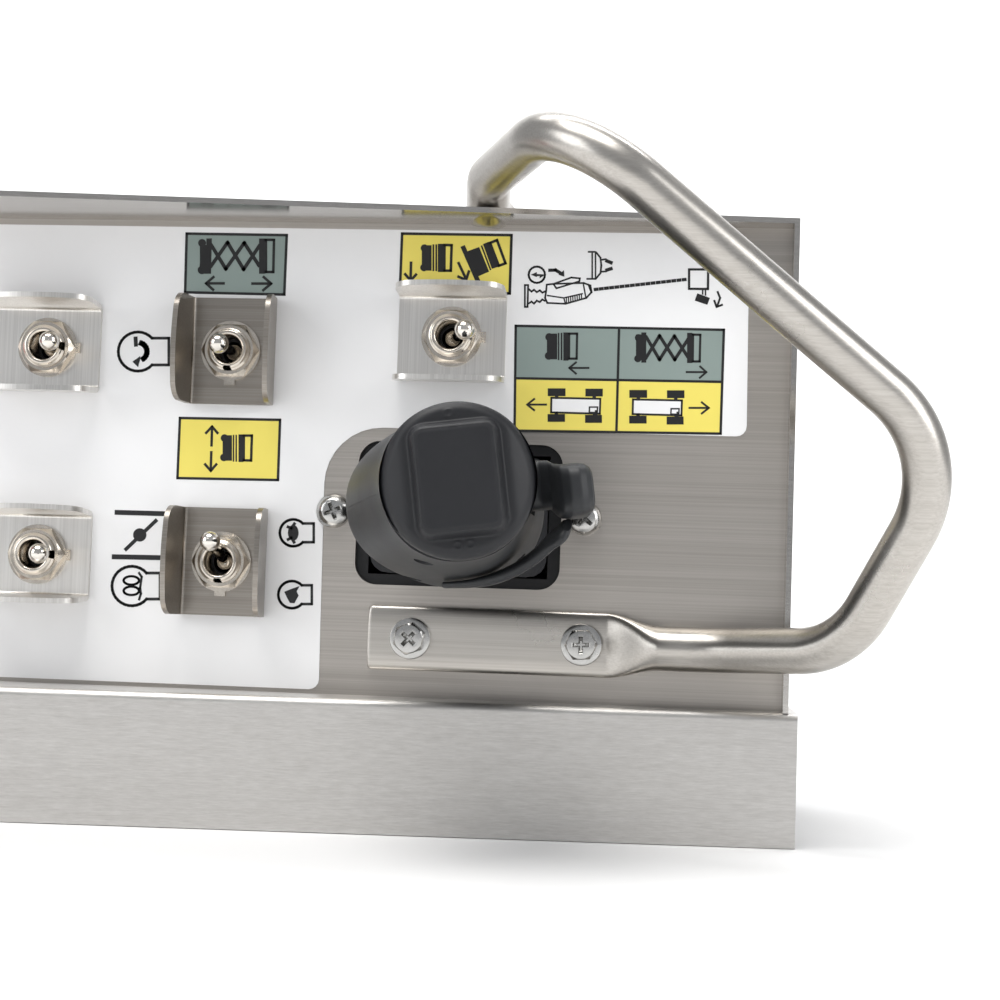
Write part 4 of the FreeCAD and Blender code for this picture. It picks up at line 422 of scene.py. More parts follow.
    ('line', 'k', 0.52, True, [(-173.5, 90.66), (-178.37, 90.55), (-179.18, 89.81), (-180.13, 89.25), (-181.18, 88.88), (-182.29, 88.73), (-183.42, 88.79), (-184.51, 89.07), (-185.54, 89.56), (-186.45, 90.23), (-187.21, 91.06), (-187.79, 92.02), (-188.18, 93.07), (-188.34, 94.17), (-188.28, 95.27), (-188, 96.33), (-187.51, 97.32), (-186.83, 98.18), (-185.98, 98.89), (-185.01, 99.42), (-183.94, 99.74), (-182.82, 99.85), (-181.7, 99.75), (-180.61, 99.42), (-179.61, 98.89), (-178.73, 98.19), (-173.86, 98.28)]),
    ('line', 'k', 0.99, False, [(-182.11, 96.78), (-181.53, 96.56), (-181.01, 96.23), (-180.58, 95.78), (-180.27, 95.25), (-180.09, 94.67), (-180.06, 94.07), (-180.17, 93.48), (-180.41, 92.93), (-180.78, 92.46), (-181.26, 92.09)]),
    ('line', 'k', 0.73, False, [(-183.52, 98.26), (-183.3, 95.96)]),
    ('fill', 'k', 3, True, [(-183.97, 91.25), (-181.94, 93.04), (-181.89, 91.95), (-182.46, 89.92)]),
    ('fill', 'k', 3, True, [(-184.09, 91.42), (-181.93, 92.93), (-182.34, 89.87)]),
    ('fill', 'y', 1, True, [(-169.6, 75.69), (-140.89, 75.85), (-140.77, 58.95), (-169.53, 58.7)]),
    ('line', 'k', 0.47, True, [(-169.6, 75.69), (-140.89, 75.85), (-140.77, 58.95), (-169.53, 58.7)]),
    ('line', 'k', 0.47, False, [(-160.24, 73.48), (-160.16, 68.02)]),
    ('line', 'k', 0.47, False, [(-161.97, 71.55), (-160.24, 73.48), (-158.51, 71.63)]),
    ('line', 'k', 0.47, False, [(-160.14, 66.4), (-160.07, 61.11)]),
    ('line', 'k', 0.47, False, [(-161.85, 62.9), (-160.06, 61.01), (-158.45, 62.99)]),
    ('fill', 'k', 3, True, [(-157.11, 71.13), (-154.42, 71.19), (-154.11, 64.02), (-156.79, 63.95)]),
    ('fill', 'k', 3, True, [(-155.43, 70.36), (-155.47, 70.02), (-155.61, 69.72), (-155.84, 69.47), (-156.14, 69.31), (-156.48, 69.25), (-156.82, 69.3), (-157.13, 69.44), (-157.39, 69.67), (-157.55, 69.97), (-157.62, 70.3), (-157.58, 70.64), (-157.44, 70.94), (-157.21, 71.19), (-156.91, 71.35), (-156.57, 71.41), (-156.23, 71.37), (-155.92, 71.22), (-155.67, 70.99), (-155.5, 70.69)]),
    ('fill', 'k', 3, True, [(-155.35, 64.91), (-155.39, 64.57), (-155.53, 64.27), (-155.77, 64.03), (-156.06, 63.86), (-156.4, 63.8), (-156.74, 63.85), (-157.05, 63.99), (-157.31, 64.22), (-157.48, 64.52), (-157.54, 64.85), (-157.51, 65.19), (-157.36, 65.49), (-157.13, 65.74), (-156.83, 65.9), (-156.5, 65.96), (-156.16, 65.91), (-155.84, 65.77), (-155.59, 65.54), (-155.42, 65.24)]),
    ('fill', 'k', 3, True, [(-154.21, 71.31), (-153.77, 71.32), (-153.44, 63.77), (-153.88, 63.76)]),
    ('fill', 'k', 3, True, [(-153.44, 71.33), (-153, 71.34), (-152.67, 63.79), (-153.11, 63.78)]),
    ('fill', 'k', 3, True, [(-152.57, 71.46), (-151.15, 71.49), (-150.81, 63.74), (-152.23, 63.7)]),
    ('line', 'k', 0.47, True, [(-151.02, 71.17), (-148.73, 71.23), (-148.64, 64.22), (-150.77, 64.22)]),
    ('line', 'k', 0.89, False, [(-186.85, 48.53), (-173.03, 48.56)]),
    ('line', 'k', 0.89, False, [(-187.07, 36), (-173.28, 36.17)]),
    ('line', 'k', 0.68, False, [(-183.58, 38.1), (-175.04, 46.67)]),
    ('fill', 'k', 3, True, [(-177.71, 42.44), (-177.77, 41.85), (-178.02, 41.32), (-178.43, 40.89), (-178.96, 40.6), (-179.55, 40.49), (-180.15, 40.57), (-180.7, 40.82), (-181.15, 41.22), (-181.45, 41.74), (-181.57, 42.32), (-181.5, 42.9), (-181.25, 43.44), (-180.85, 43.87), (-180.32, 44.15), (-179.73, 44.26), (-179.13, 44.19), (-178.58, 43.94), (-178.13, 43.53), (-177.83, 43.02)]),
    ('line', 'k', 0.52, True, [(-172.95, 24.58), (-176.83, 24.45), (-177.63, 23.67), (-178.58, 23.05), (-179.64, 22.64), (-180.76, 22.44), (-181.9, 22.47), (-183.02, 22.72), (-184.07, 23.18), (-185, 23.83), (-185.79, 24.65), (-186.39, 25.61), (-186.78, 26.66), (-186.95, 27.76), (-186.89, 28.88), (-186.6, 29.95), (-186.09, 30.95), (-185.39, 31.82), (-184.52, 32.53), (-183.52, 33.06), (-182.43, 33.38), (-181.29, 33.49), (-180.15, 33.36), (-179.06, 33.02), (-178.05, 32.47), (-177.18, 31.74), (-173.3, 31.87)]),
    ('line', 'k', 0.42, True, [(-179.25, 29.58), (-179.34, 29.21), (-179.64, 28.87), (-180.11, 28.59), (-180.72, 28.4), (-181.4, 28.32), (-182.08, 28.36), (-182.7, 28.51), (-183.2, 28.75), (-183.53, 29.07), (-183.66, 29.43), (-183.57, 29.8), (-183.27, 30.14), (-182.79, 30.42), (-182.19, 30.61), (-181.51, 30.69), (-180.82, 30.65), (-180.2, 30.5), (-179.7, 30.26), (-179.37, 29.94)]),
    ('line', 'k', 0.42, True, [(-179.11, 26.68), (-179.2, 26.31), (-179.5, 25.97), (-179.97, 25.7), (-180.58, 25.51), (-181.26, 25.43), (-181.94, 25.46), (-182.56, 25.61), (-183.06, 25.85), (-183.39, 26.17), (-183.52, 26.53), (-183.43, 26.9), (-183.13, 27.24), (-182.65, 27.52), (-182.05, 27.71), (-181.37, 27.79), (-180.69, 27.75), (-180.06, 27.61), (-179.56, 27.36), (-179.24, 27.04)]),
    ('line', 'k', 0.42, False, [(-179.41, 31.78), (-178.53, 30.62), (-178.82, 27.5), (-178.52, 25.9), (-178.99, 24.16)]),
    ('line', 'k', 0.47, True, [(-129.89, 41.87), (-132.98, 41.77), (-133.53, 41.28), (-134.17, 40.91), (-134.87, 40.67), (-135.61, 40.57), (-136.36, 40.61), (-137.09, 40.8), (-137.76, 41.12), (-138.36, 41.57), (-138.86, 42.12), (-139.24, 42.76), (-139.49, 43.46), (-139.6, 44.19), (-139.55, 44.92), (-139.36, 45.64), (-139.04, 46.3), (-138.59, 46.88), (-138.03, 47.36), (-137.38, 47.72), (-136.67, 47.96), (-135.93, 48.05), (-135.18, 47.99), (-134.46, 47.79), (-133.79, 47.46), (-133.2, 47), (-130.11, 47.1)]),
    ('fill', 'k', 3, True, [(-134.28, 44.35), (-134.32, 43.66), (-134.51, 43.02), (-134.83, 42.52), (-135.24, 42.19), (-135.7, 42.06), (-136.18, 42.16), (-136.61, 42.46), (-136.97, 42.95), (-137.21, 43.57), (-137.32, 44.26), (-137.27, 44.95), (-137.08, 45.59), (-136.77, 46.09), (-136.36, 46.42), (-135.89, 46.55), (-135.42, 46.45), (-134.98, 46.15), (-134.62, 45.66), (-134.38, 45.04)]),
    ('line', 'k', 0.52, False, [(-137.5, 45.97), (-136.39, 45.57), (-135.47, 46.99)]),
    ('line', 'k', 0.52, False, [(-137.34, 42.33), (-136.28, 42.9), (-135.35, 41.54)]),
    ('line', 'k', 0.47, True, [(-129.72, 24.67), (-132.56, 24.57), (-133.12, 24.07), (-133.77, 23.68), (-134.48, 23.42), (-135.23, 23.31), (-135.99, 23.35), (-136.73, 23.53), (-137.42, 23.85), (-138.03, 24.3), (-138.55, 24.86), (-138.94, 25.5), (-139.19, 26.21), (-139.3, 26.95), (-139.25, 27.7), (-139.06, 28.42), (-138.73, 29.09), (-138.26, 29.68), (-137.69, 30.17), (-137.03, 30.54), (-136.31, 30.77), (-135.55, 30.86), (-134.79, 30.8), (-134.06, 30.59), (-133.38, 30.25), (-132.78, 29.78), (-129.94, 29.88)]),
    ('fill', 'k', 3, True, [(-137.65, 27.81), (-136.05, 28.5), (-133.39, 29.55), (-134.14, 28.03), (-133.55, 26.88), (-134.65, 24.72), (-135.9, 24.78), (-136.77, 26.13)]),
]
LEVEL = {1: 0.33, 2: 0.345, 3: 0.36}
film = {"k": ([], []), "g": ([], []), "y": ([], []), "w": ([], [])}


def prism(bag, pts, y0, y1):
    v, f = bag
    k, n = len(v), len(pts)
    if sum(pts[i][0] * pts[(i + 1) % n][1] - pts[(i + 1) % n][0] * pts[i][1] for i in range(n)) > 0:
        pts = pts[::-1]
    for y in (y0, y1):
        for x, z in pts:
            v.append(P(x, -y, z))
    f.append(tuple(range(k, k + n)))
    f.append(tuple(range(k + 2 * n - 1, k + n - 1, -1)))
    for i in range(n):
        j = (i + 1) % n
        f.append((k + i, k + j, k + n + j, k + n + i))


def stroke(bag, pts, wd, closed, y0, y1):
    h = wd / 2.0
    n = len(pts)
    for i in range(n if closed else n - 1):
        (x0, z0), (x1, z1) = pts[i], pts[(i + 1) % n]
        d = math.hypot(x1 - x0, z1 - z0)
        if d < 1e-6:
            continue
        ux, uz = (x1 - x0) / d, (z1 - z0) / d
        e = h * 0.9 if (closed or 0 < i) else h * 0.5
        e1 = h * 0.9 if (closed or i < n - 2) else h * 0.5
        a = (x0 - ux * e, z0 - uz * e)
        b = (x1 + ux * e1, z1 + uz * e1)
        prism(bag, [(a[0] - uz * h, a[1] + ux * h), (b[0] - uz * h, b[1] + ux * h), (b[0] + uz * h, b[1] - ux * h), (a[0] + uz * h, a[1] - ux * h)], y0, y1)


step = 0
for kind, col, val, closed, pts in DECALS:
    step += 1
    if kind == "fill":
        prism(film[col], pts, 0.30, LEVEL[val] + 0.0001 * (step % 9))
    else:
        stroke(film[col], pts, val * 1.55, closed, 0.30, 0.362 + 0.0001 * (step % 7))
for col, (v, f) in film.items():
    o = mesh_object("film_print_" + {"k": "black", "g": "green", "y": "yellow", "w": "white"}[col], v, f, "ink_" + col, None, False, clean=False)
    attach(o, "console")

# ------------------------------------------------------------------ stick frame
CA, LI, TW = math.radians(6.1), math.radians(1.6), math.radians(8.0)
BASE = Vector((-89.6, 10.0, 50.7))
W0, V0, U0 = Vector((math.sin(CA), -math.cos(CA), 0)), Vector((0, 0, 1)), Vector((math.cos(CA), math.sin(CA), 0))
WV = W0 * math.cos(LI) + V0 * math.sin(LI)
VV = V0 * math.cos(LI) - W0 * math.sin(LI)


def S(x, y, z):
    q = BASE + U0 * x + VV * y + WV * z
    return P(*q)


def G(x, y, z):
    return S(x * math.cos(TW) - y * math.sin(TW), x * math.sin(TW) + y * math.cos(TW), z)


def smooth(a, b, t):
    t = max(0.0, min(1.0, (t - a) / (b - a)))
    return t * t * (3 - 2 * t)


# ------------------------------------------------------------------ head skin with its raised rocker
def box_dist(x, y, hx, hy, r):
    qx, qy = abs(x) - hx + r, abs(y) - hy + r
    return math.hypot(max(qx, 0), max(qy, 0)) + min(max(qx, qy), 0) - r


def head_height(x, y):
    r = math.hypot(x, y)
    z = 108.9 - 0.55 * (r / 17.7) ** 2
    f = abs(x) - 12.1
    z -= 0.50 * 0.5 * (f + math.sqrt(f * f + 0.9))
    e = 17.7 - r
    if e < 2.4:
        z -= 2.4 - math.sqrt(max(0.0, 2.4 ** 2 - (2.4 - e) ** 2))
    d = box_dist(x, y, 9.1, 11.8, 2.4)
    top = 112.45 - 0.10 * ((x / 9.0) ** 2 + (y / 11.8) ** 2)
    foot = smooth(1.5, -0.35, d)
    if d < 1.5:
        z = z + (top - z) * foot
    if -1.3 < d < 0.2:
        z -= 0.30 * smooth(-1.3, 0.2, d) * (1 if d < -0.35 else 0.4)
    for cx, cy in ((-0.6, 14.9), (-1.6, -14.6), (1.2, -14.6)):
        q = math.hypot(x - cx, y - cy)
        z += 0.20 * math.exp(-((q - 0.85) / 0.22) ** 2)
    return z


NA = 240
radii = [0.05] + [0.25 * i for i in range(1, 60)] + [14.9 + 0.2 * i for i in range(0, 14)] + [17.62, 17.69]
rings = []
for r in radii:
    rings.append([G(r * math.cos(a), r * math.sin(a), head_height(r * math.cos(a), r * math.sin(a))) for a in [2 * math.pi * i / NA for i in range(NA)]])
for rr, zz in ((17.72, 105.4), (17.75, 103.5), (17.75, 101.6), (17.55, 101.2), (17.1, 101.05)):
    rings.append([G(rr * math.cos(a), rr * math.sin(a), zz) for a in [2 * math.pi * i / NA for i in range(NA)]])
v, f = loft(rings)
head = mesh_object("grip_head_skin", v, f, "rubber", sharp=60)
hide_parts("grip_cap", "thumb_rocker")
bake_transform(head)

# ------------------------------------------------------------------ bellows between the mount and the stick
NB = 96


def rrect(hx, hz, r, i, n=NB):
    a = 2 * math.pi * i / n
    c, s = math.cos(a), math.sin(a)
    k = min((hx / abs(c)) if abs(c) > 1e-9 else 1e9, (hz / abs(s)) if abs(s) > 1e-9 else 1e9)
    x, z = c * k, s * k
    ax, az = hx - r, hz - r
    if abs(x) > ax and abs(z) > az:
        dx, dz = abs(x) - ax, abs(z) - az
        q = math.hypot(dx, dz)
        if q > 1e-9:
            x = math.copysign(ax + dx * r / q, x)
            z = math.copysign(az + dz * r / q, z)
    return x, z


stack = []
zw = 40.9
while zw > 12.0:
    t = (zw - 12.0) / 29.0
    r0 = 15.6 + 4.4 * t
    amp = 1.25 * smooth(0.0, 0.12, 1 - t) + 0.05
    r = r0 + amp * math.cos(2 * math.pi * (zw - 12.0) / 4.9)
    stack.append(([S(r * math.cos(2 * math.pi * i / NB), r * math.sin(2 * math.pi * i / NB), zw) for i in range(NB)], r, S(0, 0, zw)))
    zw -= 0.35
for t, y in ((0.12, -1.2), (0.3, -0.2), (0.5, 0.5), (0.7, 1.2), (0.88, 1.5), (1.0, 1.7), (1.0, 2.6), (1.0, 4.4)):
    pts = []
    cx = -89.6 + 0.9 * (1 - t)
    for i in range(NB):
        hx, hz = rrect(24.6, 16.6, 5.0, i)
        a = 2 * math.pi * i / NB
        pts.append(P(cx + hx * t + 15.9 * math.cos(a) * (1 - t), y, 50.7 + 0.3 * (1 - t) + hz * t + 15.9 * math.sin(a) * (1 - t)))
    stack.append((pts, 16.0, P(cx, y, 50.7)))
outer = [s[0] for s in stack]
inner = [[c + (p - c) * (1 - 0.9 / r) for p in pts] for pts, r, c in stack]
v, f = loft(outer, False, False)
k = len(v)
v2, f2 = loft(inner, False, False)
v += v2
f += [tuple(k + q for q in reversed(t)) for t in f2]
last = (len(outer) - 1) * NB
for i in range(NB):
    j = (i + 1) % NB
    f.append((i, k + i, k + j, j))
    f.append((last + i, last + j, k + last + j, k + last + i))
bellows = mesh_object("stick_bellows", v, f, "rubber", sharp=70)
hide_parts("joystick_boot")
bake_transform(bellows)

# ------------------------------------------------------------------ finger rib that sweeps round the grip
path = [(24.8, -10.6, 78.5), (23.4, -12.2, 77.0), (21.0, -13.6, 75.0), (17.0, -16.6, 71.0), (12.0, -19.2, 67.0), (6.0, -20.9, 63.5), (0.0, -21.4, 60.5), (-6.0, -21.0, 58.0)]
fine = []
for i in range(len(path) - 1):
    for q in range(6):
        t = q / 6.0
        p0, p1, p2, p3 = (Vector(path[max(0, min(len(path) - 1, i + d))]) for d in (-1, 0, 1, 2))
        fine.append(0.5 * ((2 * p1) + (p2 - p0) * t + (2 * p0 - 5 * p1 + 4 * p2 - p3) * t * t + (3 * p1 - p0 - 3 * p2 + p3) * t ** 3))
fine.append(Vector(path[-1]))
rings = []
for i, p in enumerate(fine):
    d = (fine[min(i + 1, len(fine) - 1)] - fine[max(i - 1, 0)]).normalized()
    rad = Vector((p.x, p.y, 0)).normalized()
    side = d.cross(rad).normalized()
    t = i / (len(fine) - 1)
    a = 4.6 * (0.60 + 0.40 * smooth(0, 0.12, t)) * (1 - 0.55 * smooth(0.65, 1.0, t))
    b = 1.55 * (0.6 + 0.4 * smooth(0, 0.12, t)) * (1 - 0.5 * smooth(0.65, 1.0, t))
    ring = []
    for q in range(28):
        an = 2 * math.pi * q / 28
        c, s = math.cos(an), math.sin(an)
        off = side * (a * math.copysign(abs(c) ** 0.7, c)) + rad * (b * math.copysign(abs(s) ** 0.7, s))
        o = p + off
        ring.append(G(o.x, o.y, o.z))
    rings.append(ring)
v, f = loft(rings)
rib = mesh_object("grip_finger_rib", v, f, "grip", sharp=50)
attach(rib, "stick")

# ------------------------------------------------------------------ hardware: heads with a cross recess, threaded bushings
def cross_r(th, a, h):
    c, s = abs(math.cos(th)), abs(math.sin(th))
    if s > c:
        c, s = s, c
    return a / c if s / max(c, 1e-9) <= h / a else h / s


def hex_r(th, af, turn):
    q = (th - turn) % (math.pi / 3) - math.pi / 6
    return af / 2 / math.cos(q)


def head_mesh(place, rings_, a, h, depth, turn):
    """rings_ is a list of (height, radius or a function of the angle); the cross recess is sunk in the last ring."""
    n = 144
    out = []
    ths = [2 * math.pi * i / n + 0.004 for i in range(n)]
    for z, r in rings_:
        out.append([place(*(q * (r(t) if callable(r) else r) for q in (math.cos(t), math.sin(t))), z) for t in ths])
    top = rings_[-1][0]
    for z, k in ((top, 1.08), (top - 0.12, 1.0), (top - depth * 0.7, 0.80), (top - depth, 0.45)):
        out.append([place(math.cos(t) * k * cross_r(t - turn, a, h), math.sin(t) * k * cross_r(t - turn, a, h), z) for t in ths])
    return loft(out)


def front_place(x, z, y):
    return lambda a, b, h: P(x + a, y - h, z + b)


def top_place(x, y, z):
    return lambda a, b, h: P(x + a, y - b, z + h)


def merge(parts):
    v, f = [], []
    for a, b in parts:
        k = len(v)
        v += a
        f += [tuple(k + q for q in t) for t in b]
    return v, f


bolts = []
for i, (pl, tn) in enumerate(((front_place(-101.3, 16.2, -3.2), 0.35), (front_place(-54.3, 16.2, -3.2), 1.1), (top_place(-84.0, 22.0, 136.7), 0.2), (top_place(-84.0, 56.0, 136.7), 0.9))):
    hx = lambda t, tn=tn: hex_r(t, 7.9, tn)
    hxc = lambda t, tn=tn: min(hex_r(t, 7.9, tn), 4.15)
    bolts.append(head_mesh(pl, [(-12.0, 2.40), (0.0, 2.42), (0.0, 5.45), (0.15, 5.65), (0.75, 5.68), (1.0, 5.5), (1.12, 5.1), (1.15, hx), (3.35, hx), (3.75, hxc), (4.1, 3.75), (4.15, 3.5)], 2.25, 0.55, 1.9, tn + 0.5))
v, f = merge(bolts)
o = mesh_object("guard_bolt_heads", v, f, "bolt", sharp=24)
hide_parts("guard_bolts")
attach(o, "console")
scr = []
for i, sg in enumerate((-1, 1)):
    scr.append(head_mesh(front_place(-89.6 + sg * 34.9, 50.7, 0.0), [(-11.9, 1.92), (0.0, 1.94), (0.0, 4.5), (0.2, 4.72), (0.9, 4.74), (1.7, 4.45), (2.4, 3.85), (2.85, 3.2), (3.05, 2.85)], 2.35, 0.50, 2.0, 0.4 + 0.5 * i))
v, f = merge(scr)
o = mesh_object("joystick_screw_heads", v, f, "bolt", sharp=34)
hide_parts("joystick_screws")
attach(o, "console")

TOG = {"a": (-208.4, 94.7, 0.0), "b": (-208.4, 36.0, 0.0), "c": (-155.3, 94.8, -90.0), "d": (-155.4, 35.6, -90.0), "e": (-93.1, 100.0, 0.0)}
parts = []
lo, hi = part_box("toggle_bushings")
yb = hi.y * 1000.0 - SY
for x, z, key in TOG.values():
    prof = [(yb, 5.0), (yb, 5.8), (-2.4, 5.85)]
    y = -2.6
    while y > -5.7:
        prof += [(y, 5.93), (y - 0.16, 5.93), (y - 0.38, 5.52), (y - 0.5, 5.52)]
        y -= 0.66
    prof += [(-5.85, 5.55), (-6.12, 5.35), (-6.28, 5.0), (-6.3, 4.55), (-6.2, 4.2), (-5.9, 3.98), (-5.2, 3.8), (-3.6, 3.62), (-1.0, 3.5), (yb - 0.2, 3.5)]
    n = 120
    rr = []
    for yy, r in prof:
        ring = []
        for i in range(n):
            t = 2 * math.pi * i / n
            q = r
            d = abs((math.degrees(t) - key + 180) % 360 - 180)
            if d < 9.5 and r > 4.6 and yy < -1.0:
                q = min(r, 4.75)
            ring.append(P(x + q * math.cos(t), yy, z + q * math.sin(t)))
        rr.append(ring)
    a, b = loft(rr, False, False)
    k = (len(rr) - 1) * n
    b += [(i, k + i, k + (i + 1) % n, (i + 1) % n) for i in range(n)]
    parts.append((a, b))
v, f = merge(parts)
o = mesh_object("toggle_bushings_threaded", v, f, "nickel", sharp=40)
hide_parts("toggle_bushings")
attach(o, "console")

# ------------------------------------------------------------------ tube guard with smoothly flattened ends
GP = [Vector(p) for p in ((-33.0, -6.3, 16.0), (-19.0, -6.9, 16.0), (13.5, -29.5, 17.6), (38.0, -48.0, 66.8), (-59.0, -76.0, 142.0), (-82.5, -16.5, 141.0), (-84.0, -4.0, 136.2))]
GR = [30, 24, 30, 27, 12]
line = [GP[0]]
for i in range(1, len(GP) - 1):
    a, b, c = GP[i - 1], GP[i], GP[i + 1]
    u, w = (a - b).normalized(), (c - b).normalized()
    half = math.acos(max(-1, min(1, u.dot(w)))) / 2
    tl = GR[i - 1] / math.tan(half)
    cen = b + (u + w).normalized() * (GR[i - 1] / math.sin(half))
    p0, p1 = b + u * tl, b + w * tl
    n0, n1 = (p0 - cen), (p1 - cen)
    ang = n0.angle(n1)
    ax = n0.cross(n1).normalized()
    m_ = max(6, int(math.degrees(ang) / 2.5))
    for k in range(m_ + 1):
        line.append(cen + Matrix.Rotation(ang * k / m_, 3, ax) @ n0)
line.append(GP[-1])
NT = 64
fl0, fl1 = Vector((-48.0, -1.6, 16.2)), Vector((-84.0, 12.0, 135.1))


def ring_at(c, a, b, uu, vv, p):
    out = []
    for i in range(NT):
        t = 2 * math.pi * i / NT
        ct, st = math.cos(t), math.sin(t)
        q = c + uu * (a * math.copysign(abs(ct) ** (2 / p), ct)) + vv * (b * math.copysign(abs(st) ** (2 / p), st))
        out.append(P(*q))
    return out


def end_rings(c_round, d_round, c_flat, xdir, ydir, along, length, hand=1.0):
    d_round = d_round.normalized()
    u = (xdir - d_round * xdir.dot(d_round)).normalized()
    w = d_round.cross(u)
    if w.dot(ydir) < 0:
        w = -w
    out = []
    for t in [i / 16.0 for i in range(1, 17)]:
        m_ = smooth(0, 1, t)
        a = 6.0 + 2.75 * m_
        b = 6.0 - 4.4 * m_
        out.append(ring_at(c_round.lerp(c_flat, t), a, b, u.lerp(xdir, t).normalized(), hand * w.lerp(ydir, t).normalized(), 2.0 + 2.6 * m_))
    for d, k in ((length * 0.5, 1.0), (length - 1.2, 1.0), (length - 0.5, 0.985), (length - 0.12, 0.95), (length, 0.90)):
        out.append(ring_at(c_flat + along * d, 8.75 * k, 1.6 * (k if k > 0.96 else k * 0.9), xdir, hand * ydir, 4.6))
    return out, u, w


X_, Y_, Z_ = Vector((1, 0, 0)), Vector((0, 1, 0)), Vector((0, 0, 1))
e0, u0, w0 = end_rings(GP[0], GP[0] - GP[1], fl0, Z_, -Y_, -X_, 65.2)
frames = []
uu, ww = u0, w0
prev = None
for i, p in enumerate(line):
    d = (line[min(i + 1, len(line) - 1)] - line[max(i - 1, 0)]).normalized()
    if prev is not None:
        q = prev.rotation_difference(d)
        uu = q @ uu
        ww = q @ ww
    prev = d
    frames.append((p, d, uu.copy(), ww.copy()))
_, u1, w1 = end_rings(GP[-1], GP[-1] - GP[-2], fl1, X_, Z_, Y_, 54.0)
pN, dN, uN, wN = frames[-1]
hand = 1.0 if uN.cross(wN).dot(dN) * u1.cross(w1).dot(dN) > 0 else -1.0
e1, u1, w1 = end_rings(GP[-1], GP[-1] - GP[-2], fl1, X_, Z_, Y_, 54.0, hand)
turn = math.atan2(u1.dot(wN), u1.dot(uN))
body_rings = []
for i, (p, d, a, b) in enumerate(frames):
    k = turn * i / (len(frames) - 1)
    body_rings.append(ring_at(p, 6.0, 6.0, a * math.cos(k) + b * math.sin(k), b * math.cos(k) - a * math.sin(k), 2.0))
v, f = loft(e0[::-1] + body_rings + e1, True, True)
o = mesh_object("tube_guard_skin", v, f, "tube", sharp=55)
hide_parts("guard_handle")
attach(o, "console")

# ------------------------------------------------------------------ trigger: an arm in the slot and a broad paddle set low
sec = []
for xc, zc, hz, y0, y1 in ((9.2, 73.4, 3.4, -5.6, 5.6), (11.0, 73.4, 3.9, -5.9, 5.9), (15.0, 72.8, 3.9, -6.0, 6.0), (19.2, 72.2, 4.6, -6.0, 6.0),
                           (21.6, 73.2, 6.6, -6.1, 5.6), (22.8, 74.8, 8.6, -7.6, 4.4), (24.0, 76.4, 10.0, -8.7, 3.9), (26.0, 77.2, 10.9, -9.1, 3.7), (28.4, 77.4, 10.9, -9.1, 3.6), (29.9, 77.4, 10.0, -8.8, 3.3), (31.0, 77.4, 8.8, -8.0, 2.5), (31.5, 77.4, 7.4, -6.9, 1.5)):
    sec.append((xc, zc, hz, y0, y1))
rings = []
for i in range(len(sec) - 1):
    for q in range(5):
        t = q / 5.0
        s0, s1 = sec[i], sec[i + 1]
        rings.append([s0[k] + (s1[k] - s0[k]) * t for k in range(5)])
rings.append(list(sec[-1]))
rr = []
for xc, zc, hz, y0, y1 in rings:
    hy, yc = (y1 - y0) / 2, (y0 + y1) / 2
    ring = []
    for i in range(40):
        t = 2 * math.pi * i / 40
        c, s = math.cos(t), math.sin(t)
        ring.append(G(xc, yc + hy * math.copysign(abs(c) ** 0.55, c), zc + hz * math.copysign(abs(s) ** 0.55, s)))
    rr.append(ring)
v, f = loft(rr)
o = mesh_object("trigger_skin", v, f, "grip", sharp=50)
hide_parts("trigger")
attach(o, "trigger")


# ------------------------------------------------------------------ floor, backdrop, light, camera
def stage_plane(name, pts, col, rough=0.85):
    me = bpy.data.meshes.new(name)
    me.from_pydata(pts, [], [tuple(range(len(pts)))])
    o = bpy.data.objects.new(name, me)
    bpy.context.scene.collection.objects.link(o)
    m, nt, b = material(name + "_finish")
    n = noise(nt, coords(nt, (3, 3, 3)), 1.0, 4.0, 0.5)
    nt.links.new(ramp(nt, n, [(0.3, [q * 0.985 for q in col]), (0.7, col)]), b.inputs["Base Color"])
    b.inputs["Roughness"].default_value = rough
    me.materials.append(m)
    return o


# a sweep: flat floor that curves up into a pale wall behind
prof = [(-3.0, 0.0), (1.2, 0.0)] + [(1.2 + 0.8 * math.sin(a), 0.8 - 0.8 * math.cos(a)) for a in [math.radians(6 * i) for i in range(1, 16)]] + [(2.0, 4.0)]
v = [(x, y, z - 0.0002) for x in (-4.0, 4.0) for y, z in prof]
k = len(prof)
me = bpy.data.meshes.new("studio_sweep")
me.from_pydata(v, [], [(i, i + 1, i + 1 + k, i + k) for i in range(k - 1)])
sweep = bpy.data.objects.new("studio_sweep", me)
bpy.context.scene.collection.objects.link(sweep)
m, nt, b = material("studio_sweep_finish")
nn = noise(nt, coords(nt, (3, 3, 3)), 1.0, 4.0, 0.5)
nt.links.new(ramp(nt, nn, [(0.3, (0.84, 0.84, 0.84)), (0.7, (0.86, 0.86, 0.86))]), b.inputs["Base Color"])
b.inputs["Roughness"].default_value = 0.9
me.materials.append(m)
for p in me.polygons:
    p.use_smooth = True

world = bpy.data.worlds.new("studio")
world.use_nodes = True
bg = world.node_tree.nodes["Background"]
bg.inputs[0].default_value = (0.80, 0.82, 0.85, 1)
bg.inputs[1].default_value = 0.50
bpy.context.scene.world = world


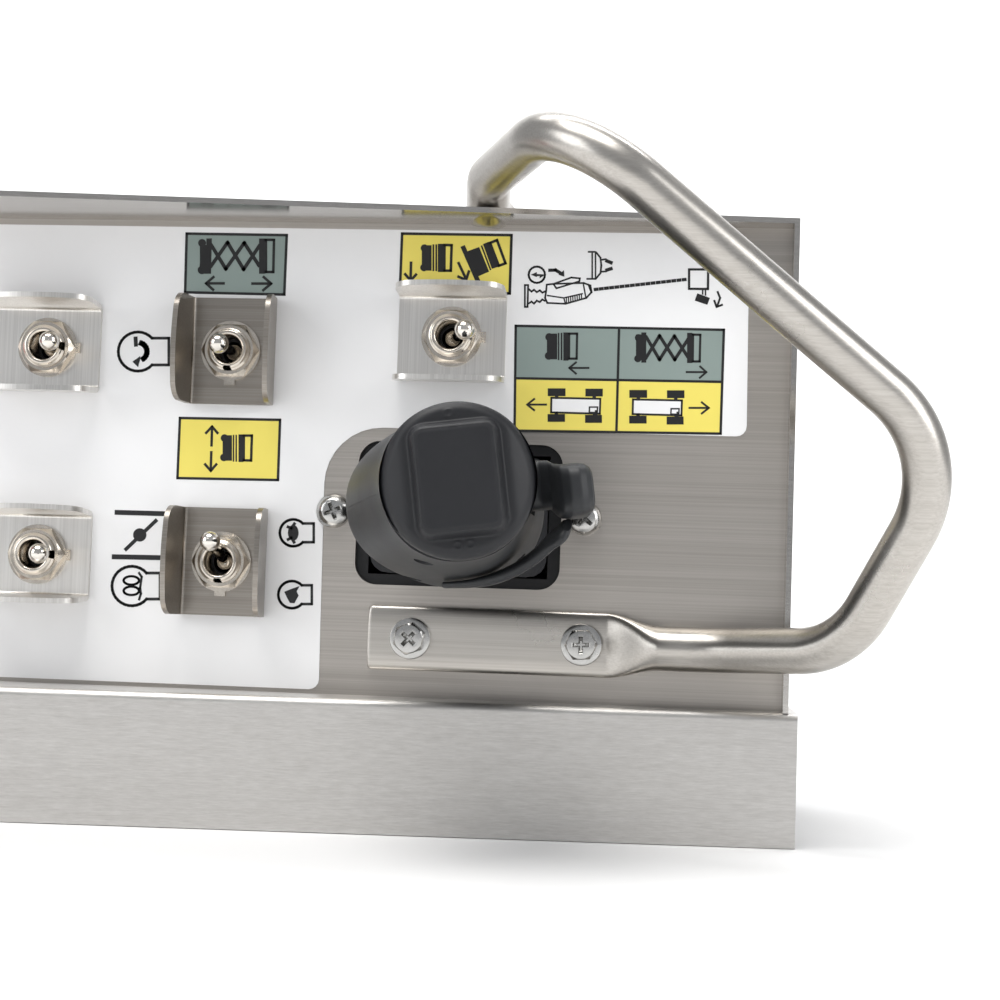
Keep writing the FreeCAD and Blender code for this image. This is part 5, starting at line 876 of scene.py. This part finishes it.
def area(name, loc, target, size, power, size_y=None, color=(1, 1, 1)):
    d = bpy.data.lights.new(name, "AREA")
    d.energy = power
    d.shape = "RECTANGLE"
    d.size = size
    d.size_y = size_y or size
    d.color = color
    o = bpy.data.objects.new(name, d)
    bpy.context.scene.collection.objects.link(o)
    o.location = loc
    o.rotation_euler = (Vector(target) - Vector(loc)).to_track_quat("-Z", "Y").to_euler()
    return o


area("key_top", (-0.25, -0.55, 1.5), (0.05, 0.0, 0.1), 1.1, 19.0, 0.8, (1.0, 0.985, 0.96))
area("fill_left", (-1.3, -0.9, 0.55), (0.0, 0.0, 0.1), 0.9, 6.5, 0.9, (0.97, 0.985, 1.0))
area("fill_right", (1.2, -0.6, 0.5), (0.05, 0.0, 0.1), 0.6, 6.0, 0.9)
area("back_wall", (0.0, 0.7, 1.9), (0.0, 2.0, 0.6), 2.2, 42.0, 0.8)

cd = bpy.data.cameras.new("photo_view")
cam = bpy.data.objects.new("photo_view", cd)
bpy.context.scene.collection.objects.link(cam)
cd.sensor_width = 36.0
cd.sensor_fit = "HORIZONTAL"
cd.lens = 63.297
cd.clip_start = 0.01
cd.clip_end = 20.0
yaw, pitch, roll = (math.radians(a) for a in (5.6134, 3.3641, 1.9761))
right = Vector((math.cos(yaw), math.sin(yaw), 0))
fwd = Vector((-math.sin(yaw), math.cos(yaw), 0))
up = Vector((0, 0, 1))
f2 = fwd * math.cos(pitch) + up * math.sin(pitch)
u2 = up * math.cos(pitch) - fwd * math.sin(pitch)
r3 = right * math.cos(roll) + u2 * math.sin(roll)
u3 = u2 * math.cos(roll) - right * math.sin(roll)
loc = P(-30.771, -482.735, 26.641)
cam.matrix_world = Matrix(((r3.x, u3.x, -f2.x, loc.x), (r3.y, u3.y, -f2.y, loc.y), (r3.z, u3.z, -f2.z, loc.z), (0, 0, 0, 1)))
bpy.context.scene.camera = cam

bpy.context.scene.view_settings.view_transform = "Standard"
bpy.context.scene.view_settings.look = "None"
bpy.context.scene.view_settings.exposure = 0.0
